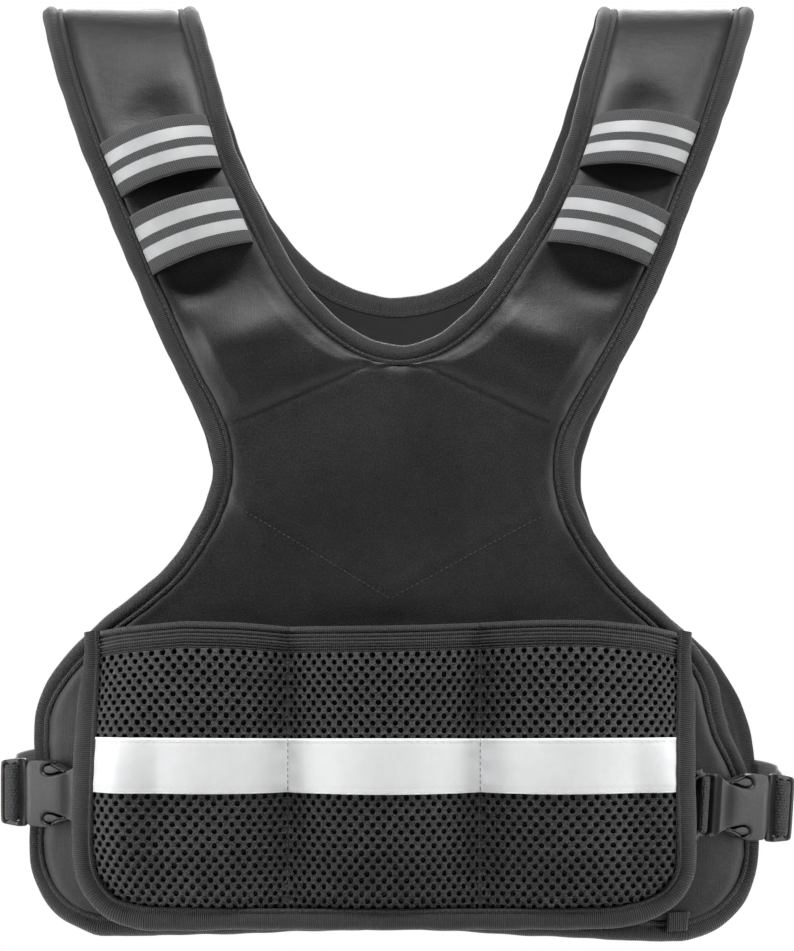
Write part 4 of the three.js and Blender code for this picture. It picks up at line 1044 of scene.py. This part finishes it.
def add_ribbon(bag, centre, across, thick_dir, width, thick, mat=0, uv0=0.0):
    """centre, across and thick_dir are (N, 3); a strap of rounded flat section."""
    sec = []
    for s, e in ((1, 1), (-1, -1)):
        xs = np.linspace(-1, 1, 13) * s
        for x in xs:
            h = min(1.0, 1 - max(0, abs(x) - 0.93) / 0.07 * 0.55)
            sec.append((x * width / 2, e * h * thick / 2))
    sec = np.array(sec)
    k = len(sec)
    ring = centre[:, None] + across[:, None] * sec[None, :, :1] + thick_dir[:, None] * sec[None, :, 1:]
    d = lengths(centre)
    ring = np.concatenate([ring, ring[:, :1]], 1)
    uv = np.stack(np.broadcast_arrays((d + uv0)[:, None], np.append(sec[:, 0], sec[0, 0])[None]), -1) / 1000
    n = len(centre)
    i, j = np.meshgrid(np.arange(n - 1), np.arange(k), indexing="ij")
    a = (i * (k + 1) + j).ravel()
    bag.add(ring, np.stack([a, a + k + 1, a + k + 2, a + 1], -1), uv, mat)
    for row, turn in ((0, False), (n - 1, True)):
        pts = ring[row, :k]
        q = np.array([(i, i + 1, k - 2 - i, k - 1 - i) for i in range(12)])
        bag.add(pts, q if turn else q[:, ::-1], uv[row, :k], mat)


def buckle_frame(side):
    turn = math.radians(B_TURN)
    z, roll = BUCKLES[side]
    al = np.array([side * math.cos(turn), math.sin(turn), 0])
    out = np.array([side * math.sin(turn), -math.cos(turn), 0])
    up = np.array([0, 0, 1.0])
    r = math.radians(roll)
    a2, u2 = al * math.cos(r) + up * math.sin(r), -al * math.sin(r) + up * math.cos(r)
    o = np.array([side * B_X, B_Y, z])
    return o, a2, u2, out


def bent(points2, side):
    """A path in the buckle's plane of (l, t) as points in space, with its width and thickness directions."""
    o, a, u, out = buckle_frame(side)
    p = curve_through(points2)
    c = o + a * p[:, :1] + out * p[:, 1:]
    d = np.gradient(p, axis=0)
    d /= np.linalg.norm(d, axis=1, keepdims=True)
    nrm = a * -d[:, 1:] + out * d[:, :1]
    return c, np.repeat(u[None], len(c), 0), nrm


T = 5.2
for side, name in ((-1, "left"), (1, "right")):
    o, a, u, out = buckle_frame(side)
    bag = Bag()
    c, w, n = bent([[-37, -4.9], [-33.5, -3.9], [-29.6, -2.2], [-26, -1.4], [-22.6, -1.35], [-21.3, 0.6], [-21.2, B_BAR - 0.2],
                    [-22.4, B_BAR + 1.2], [-25.2, B_BAR + 1.3]], side)
    add_ribbon(bag, c, w, n, WEB_W - 0.5, WEB_T - 0.2)
    ob = bag.piece("front_strap_" + name, [WEB_M])
    weld(ob)
    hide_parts("front_webbing_" + name)
    pieces[ob.name] = ob
    # the run over the plug's bars, then round the side to the back wing
    local, w1, n1 = bent([[18.8, -1.4], [22.6, -1.4], [24.4, -0.1], [24.9, T + 0.3], [26.4, T + 1.6], [29.6, T + 1.6], [31.2, T + 0.2],
                          [31.4, 0.1], [32.3, -1.7], [34.8, -2.15]], side)
    zb = BUCKLES[side][0]
    start = o + a * 34.8 + out * -2.15
    pts = [[start[0], start[1]], [side * 208.6, -20], [side * 210.4, 22]]
    for x, _ in ((204.5, 0), (198, 0), (188, 0)):
        p = at(np.array(side * (x - 6.0)), np.array(zb), np.array(PANEL + 0.9 + GAP + 0.9), 1)
        pts.append([p[0], p[1]])
    route = curve_through(pts, 0.9)
    c2 = np.concatenate([route, np.full((len(route), 1), zb)], 1)
    d2 = np.gradient(route, axis=0)
    d2 /= np.linalg.norm(d2, axis=1, keepdims=True)
    n2 = np.stack([d2[:, 1], -d2[:, 0], 0 * d2[:, 0]], -1) * side
    # from the buckle's tilt to upright over the first 40 mm
    mixw = smooth(lengths(c2) / 40)[:, None]
    w2 = w1[-1] * (1 - mixw) + np.array([0, 0, 1.0]) * mixw
    w2 /= np.linalg.norm(w2, axis=1, keepdims=True)
    c2[:, 2] = zb + (start[2] - zb) * (1 - mixw[:, 0])
    n2[0] = n1[-1]
    centre = np.concatenate([local[:-1], c2])
    bag = Bag()
    add_ribbon(bag, centre, np.concatenate([w1[:-1], w2]), np.concatenate([n1[:-1], n2]), WEB_W - 0.5, WEB_T - 0.2)
    # a box of stitches holds its end on the back wing
    k = len(centre) - 3
    ends = [centre[k], centre[k - 14]]
    for hgt in np.linspace(-12, 12, 4):
        seg = np.stack([centre[j] + np.array([0, 0, hgt]) + np.concatenate([n1[:-1], n2])[j] * 0.8 for j in range(k - 16, k)])
        add_stitches(bag, seg, np.concatenate([n1[:-1], n2])[k - 16:k], 2.0, 2.8, 0.6, 0.3, 1)
    ob = bag.piece("side_strap_" + name, [WEB_M, THREAD])
    weld(ob)
    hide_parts("side_webbing_" + name)
    pieces[ob.name] = ob

# the small ribbed tab at the hem
bag = Bag()
t = np.linspace(0, 1, 21)[:, None]
s = np.linspace(0, 1, 13)[None]
x = (141.6 + (140.8 - 141.6) * t) * (1 - s) + (152.2 + (151.2 - 152.2) * t) * s
z = -483.4 - 10 * t + 0 * s
ridge = 0.28 * np.sin(2 * np.pi * s * 5)
outer = at(x, z, PANEL + 3.1 + ridge - 0.8 * np.power(t, 6), -1)
inner = at(x, z, PANEL + 1.5 + 0 * s - 0 * t, -1)
add_wall(bag, outer, inner, np.stack([x, z], -1) / 1000, True)
ob = bag.piece("hem_tab", [ELASTIC_M])
weld(ob)
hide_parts("corner_tab")
pieces[ob.name] = ob

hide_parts("front_panel")
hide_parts("back_panel")
weld(pieces["front_panel_cloth"])
weld(pieces["back_panel_cloth"])

# ---------------------------------------------------------------- buckles
SOCKET_EDGE = [  # upper half of the socket's outline: along, half height
    (-27.4, 15.2), (-26.9, 17.4), (-25.4, 18.4), (-21.5, 18.4), (-17.8, 17.9), (-14.6, 16.6), (-11.5, 15.5), (-8, 15.1),
    (-4.6, 15.6), (-1.4, 17.0), (1.8, 18.8), (5.0, 19.6), (10, 19.7), (15, 19.3), (17.6, 17.9), (19.6, 13.6), (20.9, 7.5), (21.4, 0)]
TEAR = [  # a release opening: pointed inward, round outward
    (-9.4, 12.55), (-6.5, 11.55), (-3, 10.7), (0.5, 10.0), (3.4, 9.9), (5.7, 10.9), (6.6, 12.9), (5.8, 14.9), (3.7, 16.0), (1.0, 15.9),
    (-2.2, 14.7), (-5.6, 13.6)]
PLUG_EDGE = [(19.8, 12), (20.0, 16.2), (21.0, 17.8), (23.2, 18.2), (28, 17.8), (32.8, 17.1), (34.5, 16.2), (35, 14.0), (35.2, 7), (35.2, 0)]


def full_outline(upper, close_inner=True):
    low = [(l, -h) for l, h in upper[::-1] if h > 0]
    return list(upper) + low


def slot_outline(l0, l1, half, r=0.9):
    pts = []
    for cl, ch, a0 in ((l1 - r, half - r, 0), (l0 + r, half - r, 90), (l0 + r, -half + r, 180), (l1 - r, -half + r, 270)):
        for a in np.linspace(a0, a0 + 90, 5):
            pts.append((cl + r * math.cos(math.radians(a)), ch + r * math.sin(math.radians(a))))
    return pts


def plate_mesh(name, outlines, low, high, soft, voxel, shaper):
    """A moulded plate: outlines in (l, h) with holes, rounded edges, then shaped by moving its points."""
    cu = bpy.data.curves.new(name, "CURVE")
    cu.dimensions = "2D"
    cu.fill_mode = "BOTH"
    thick = high - low
    cu.bevel_depth = soft / 1000
    cu.bevel_resolution = 3
    cu.extrude = (thick / 2 - soft) / 1000
    for k, pts in enumerate(outlines):
        p = np.array(pts, float)
        if k == 0:
            mid = np.zeros(2)
            p = mid + (p - mid)
        # smooth closed polyline
        n = len(p)
        fine = []
        for i in range(n):
            p0, p1, p2, p3 = (p[(i + d) % n] for d in (-1, 0, 1, 2))
            for t in np.arange(4) / 4:
                fine.append(0.5 * (2 * p1 + (p2 - p0) * t + (2 * p0 - 5 * p1 + 4 * p2 - p3) * t * t + (3 * p1 - p0 - 3 * p2 + p3) * t ** 3))
        fine = np.array(fine)
        # a bevel grows the outline, so it starts smaller, and holes start larger
        d = np.roll(fine, -1, 0) - np.roll(fine, 1, 0)
        d /= np.maximum(1e-9, np.linalg.norm(d, axis=1, keepdims=True))
        area = 0.5 * np.sum(fine[:, 0] * np.roll(fine[:, 1], -1) - fine[:, 1] * np.roll(fine[:, 0], -1))
        inward = np.stack([-d[:, 1], d[:, 0]], -1) * (1 if area > 0 else -1)
        fine = fine + inward * soft * (1 if k == 0 else -1)
        sp = cu.splines.new("POLY")
        sp.points.add(len(fine) - 1)
        co = np.zeros((len(fine), 4))
        co[:, :2] = fine / 1000
        co[:, 3] = 1
        sp.points.foreach_set("co", co.ravel())
        sp.use_cyclic_u = True
    tmp = bpy.data.objects.new(name + "_curve", cu)
    bpy.context.scene.collection.objects.link(tmp)
    rm = tmp  # the curve is turned into a mesh, then remeshed finely
    dg = bpy.context.evaluated_depsgraph_get()
    me = bpy.data.meshes.new_from_object(tmp.evaluated_get(dg))
    bpy.data.objects.remove(tmp)
    ob = bpy.data.objects.new(name + "_raw", me)
    bpy.context.scene.collection.objects.link(ob)
    weld(ob, 1e-6)
    mod = ob.modifiers.new("voxels", "REMESH")
    mod.mode = "VOXEL"
    mod.voxel_size = voxel / 1000
    mod.use_smooth_shade = True
    sm = ob.modifiers.new("soften", "SMOOTH")
    sm.factor = 0.5
    sm.iterations = 5
    dg = bpy.context.evaluated_depsgraph_get()
    fine_me = bpy.data.meshes.new_from_object(ob.evaluated_get(dg))
    bpy.data.objects.remove(ob)
    v = np.empty(len(fine_me.vertices) * 3)
    fine_me.vertices.foreach_get("co", v)
    v = v.reshape(-1, 3) * 1000
    v[:, 2] += (low + high) / 2
    v = shaper(v)
    return fine_me, v


def socket_shape(v):
    l, h, t = v[:, 0], v[:, 1], v[:, 2]
    up = np.clip(t / 7.2, 0, 1)
    # the bar end is thinner, the head is domed, and the waist dips a little
    thin = smooth((-13.2 - l) / 2.6)
    dome = 0.9 * np.clip(1 - (h / 19) ** 2, 0, 1) * smooth((21 - l) / 8) * smooth((l + 14) / 9)
    waist = -0.55 * np.exp(-((l + 9.5) / 4.5) ** 2)
    mouth = -1.5 * smooth((l - 15.5) / 6)
    t = t - 2.4 * thin * up + (dome - 0.5 + waist + mouth) * up * (1 - thin)
    # low grip ridges across the head, multiplied by zero so that they add no height
    for c in (9.5, 12.2, 14.9):
        t = t + 0.32 * up * np.exp(-((l - c) / 0.55) ** 2) * smooth((15 - np.abs(h)) / 3) * 0
    return np.stack([l, h, t], -1)


def plug_shape(v):
    l, h, t = v[:, 0], v[:, 1], v[:, 2]
    up = np.clip((t - 0.6) / 4.6, 0, 1)
    t = t - 1.9 * up * smooth((23.6 - l) / 1.2) + 0.5 * up * smooth((l - 31) / 2)
    return np.stack([l, h, t], -1)


def prong_shape(v):
    l, h, t = v[:, 0], v[:, 1], v[:, 2]
    up = np.clip((t - 1.2) / 4.4, 0, 1)
    return np.stack([l, h, t + up * 0.8 * np.clip(1 - ((np.abs(h) - 12.6) / 3.4) ** 2, 0, 1)], -1)


SLOT_IN = slot_outline(-24, -17, 15.9)
tear_low = [(l, -h) for l, h in TEAR]
socket_me, socket_v = plate_mesh("socket", [full_outline(SOCKET_EDGE), SLOT_IN, TEAR, tear_low], 0, 7.2, 1.25, 0.42, socket_shape)
plug_me, plug_v = plate_mesh("plug", [full_outline(PLUG_EDGE), slot_outline(23.4, 26.4, 15.4), slot_outline(30, 32.6, 15.4)],
                             0.6, 5.2, 0.8, 0.42, plug_shape)
PRONG = [(-7.5, 12.4), (-4, 10.9), (0, 9.6), (4, 9.2), (9, 9.6), (9, 15.2), (5.4, 16.4), (2, 16.6), (-1.5, 15.6), (-5, 14.0)]
prong_me, prong_v = plate_mesh("prong", [PRONG], 1.2, 5.2, 0.9, 0.45, prong_shape)


def placed(name, me, v, side, flip=False):
    o, a, u, out = buckle_frame(side)
    v = v * (np.array([1, -1, 1]) if flip else 1)
    w = (o + a * v[:, :1] + u * v[:, 1:2] + out * v[:, 2:]) / 1000
    new = me.copy()
    new.vertices.foreach_set("co", w.ravel())
    ob = bpy.data.objects.new(name, new)
    bpy.context.scene.collection.objects.link(ob)
    weld(ob, 1e-7)
    new.materials.clear()
    new.materials.append(PLASTIC)
    new.polygons.foreach_set("use_smooth", np.ones(len(new.polygons), bool))
    new.update()
    return ob


for side, name in ((-1, "left"), (1, "right")):
    ob = placed("buckle_socket_" + name, socket_me, socket_v, side)
    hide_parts("buckle_female_" + name)
    pieces[ob.name] = ob
    ob = placed("buckle_plug_" + name, plug_me, plug_v, side)
    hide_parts("buckle_male_" + name)
    pieces[ob.name] = ob
    for flip, which in ((False, "upper"), (True, "lower")):
        ob = placed("buckle_prong_" + which + "_" + name, prong_me, prong_v, side, flip)
        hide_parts("buckle_male_" + name)
        pieces[ob.name] = ob

SLOTS = {
    "front_panel_cloth": "neoprene", "back_panel_cloth": "neoprene", "chest_seam_threads": "binding", "back_seam_threads": "binding",
    "pocket_seam_threads": "binding", "strip_threads": "reflective", "mouth_elastic_band": "elastic", "reflective_tape": "reflective", "hem_tab": "webbing",
}
for name, ob in pieces.items():
    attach(ob, ROOT)
    slot = SLOTS.get(name)
    if slot is None:
        slot = ("plastic" if name.startswith("buckle") else "air_mesh" if name.startswith(("pocket_cloth", "pocket_backing")) else "shoulder_band" if name.startswith("shoulder_band")
                else "webbing" if "strap" in name else "binding")
for name, ob in pieces.items():
    if not name.endswith(("threads",)):
        print("PIECE", name, "tris", sum(len(p.vertices) - 2 for p in ob.data.polygons), "half area", round(half_area(ob), 5))

# ---------------------------------------------------------------- what each cloth was cut to
SHEETS = {  # piece: flat width, flat length, held, flat area, rests on, pieces on it
    "front_panel_cloth": (0.50, 0.53, "hung", None, [], ["front_edge_tape_left", "front_edge_tape_right", "front_neck_tape", "chest_seam_threads"]),
    "back_panel_cloth": (0.50, 0.52, "hung", None, [], ["back_edge_tape_left", "back_edge_tape_right", "back_neck_tape", "back_seam_threads"]),
    "pocket_cloth_left": (0.112, 0.137, "stretched", None, ["pocket_backing_left"], []),
    "pocket_backing_left": (0.112, 0.137, "stretched", None, ["front_panel_cloth"], []),
    "pocket_cloth_middle": (0.110, 0.137, "stretched", None, ["pocket_backing_middle"], []),
    "pocket_backing_middle": (0.110, 0.137, "stretched", None, ["front_panel_cloth"], []),
    "pocket_cloth_right": (0.112, 0.137, "stretched", None, ["pocket_backing_right"], []),
    "pocket_backing_right": (0.112, 0.137, "stretched", None, ["front_panel_cloth"], []),
    "mouth_elastic_band": (0.330, 0.0145, "stretched", None, ["front_panel_cloth"], []),
    "reflective_tape": (0.350, 0.0276, "stretched", None, ["pocket_cloth_left", "pocket_cloth_middle", "pocket_cloth_right"], ["strip_threads"]),
    "shoulder_band_cloth_left_upper": (0.070, 0.031, "stretched", None, ["front_panel_cloth"], []),
    "shoulder_band_cloth_left_lower": (0.070, 0.033, "stretched", None, ["front_panel_cloth"], []),
    "shoulder_band_cloth_right_upper": (0.070, 0.030, "stretched", None, ["front_panel_cloth"], []),
    "shoulder_band_cloth_right_lower": (0.070, 0.030, "stretched", None, ["front_panel_cloth"], []),
}
AREAS = {}
for name, (w, l, held, area, on, extra) in SHEETS.items():
    ob = pieces[name]
    real = half_area(ob)
    area = min(real, w * l)
    AREAS[name] = real

# ---------------------------------------------------------------- studio
def floor():
    bag = Bag()
    g = np.linspace(-1, 1, 41)
    x, y = np.meshgrid(g, g, indexing="ij")
    z = -760 + 0 * x
    bag.add(np.stack([x * 1600, y * 1500, z], -1), grid_faces(41, 41, True), np.stack([x, y], -1))
    ob = bag.piece("studio_floor", [FLOOR_M])
    ob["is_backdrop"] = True


m = Mat("studio_floor")
grain = m.noise(m.obj(), 30, 3, 0.5)
m.set(Base_Color=m.mix(grain, (0.80, 0.80, 0.80), (0.86, 0.86, 0.86)), Roughness=0.75)
FLOOR_M = m.m
floor()


def lamp(name, place, target, size, power, colour=(1, 1, 1)):
    data = bpy.data.lights.new(name, "AREA")
    data.shape = "RECTANGLE"
    data.size, data.size_y = size
    data.energy = power
    data.color = colour
    ob = bpy.data.objects.new(name, data)
    bpy.context.scene.collection.objects.link(ob)
    from mathutils import Vector
    ob.location = place
    ob.rotation_euler = (Vector(target) - Vector(place)).to_track_quat("-Z", "Y").to_euler()
    return ob


lamp("top_soft", (0, -0.78, 1.36), (0, -0.05, -0.25), (1.2, 0.4), 42)
lamp("left_strip", (-1.5, -0.32, -0.15), (-0.1, 0, -0.3), (0.35, 1.5), 19)
lamp("right_strip", (1.5, -0.32, -0.15), (0.1, 0, -0.3), (0.35, 1.5), 16)
lamp("front_fill", (0, -2.9, 0.1), (0, 0, -0.3), (1.6, 1.2), 0.8)
lamp("back_soft", (0, 1.8, 0.9), (0, 0, -0.25), (1.6, 1.0), 48)

world = bpy.data.worlds.new("studio")
bpy.context.scene.world = world
world.use_nodes = True
nt = world.node_tree
nt.nodes.clear()
out = nt.nodes.new("ShaderNodeOutputWorld")
mixer = nt.nodes.new("ShaderNodeMixShader")
path = nt.nodes.new("ShaderNodeLightPath")
dim = nt.nodes.new("ShaderNodeBackground")
dim.inputs[0].default_value = (1, 1, 1, 1)
dim.inputs[1].default_value = 0.018
white = nt.nodes.new("ShaderNodeBackground")
white.inputs[0].default_value = (1, 1, 1, 1)
white.inputs[1].default_value = 1.0
nt.links.new(path.outputs["Is Camera Ray"], mixer.inputs[0])
nt.links.new(dim.outputs[0], mixer.inputs[1])
nt.links.new(white.outputs[0], mixer.inputs[2])
nt.links.new(mixer.outputs[0], out.inputs[0])
bpy.context.scene.view_settings.view_transform = "Standard"

cam = bpy.data.cameras.new("camera")
cam.lens = 205.3
cam.sensor_width = 36
cam.sensor_fit = "HORIZONTAL"
cam.clip_end = 30
camera = bpy.data.objects.new("camera", cam)
camera.location = (0, -2.5, -0.2521)
camera.rotation_euler = (math.radians(90), 0, 0)
bpy.context.scene.collection.objects.link(camera)
bpy.context.scene.camera = camera

lo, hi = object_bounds()
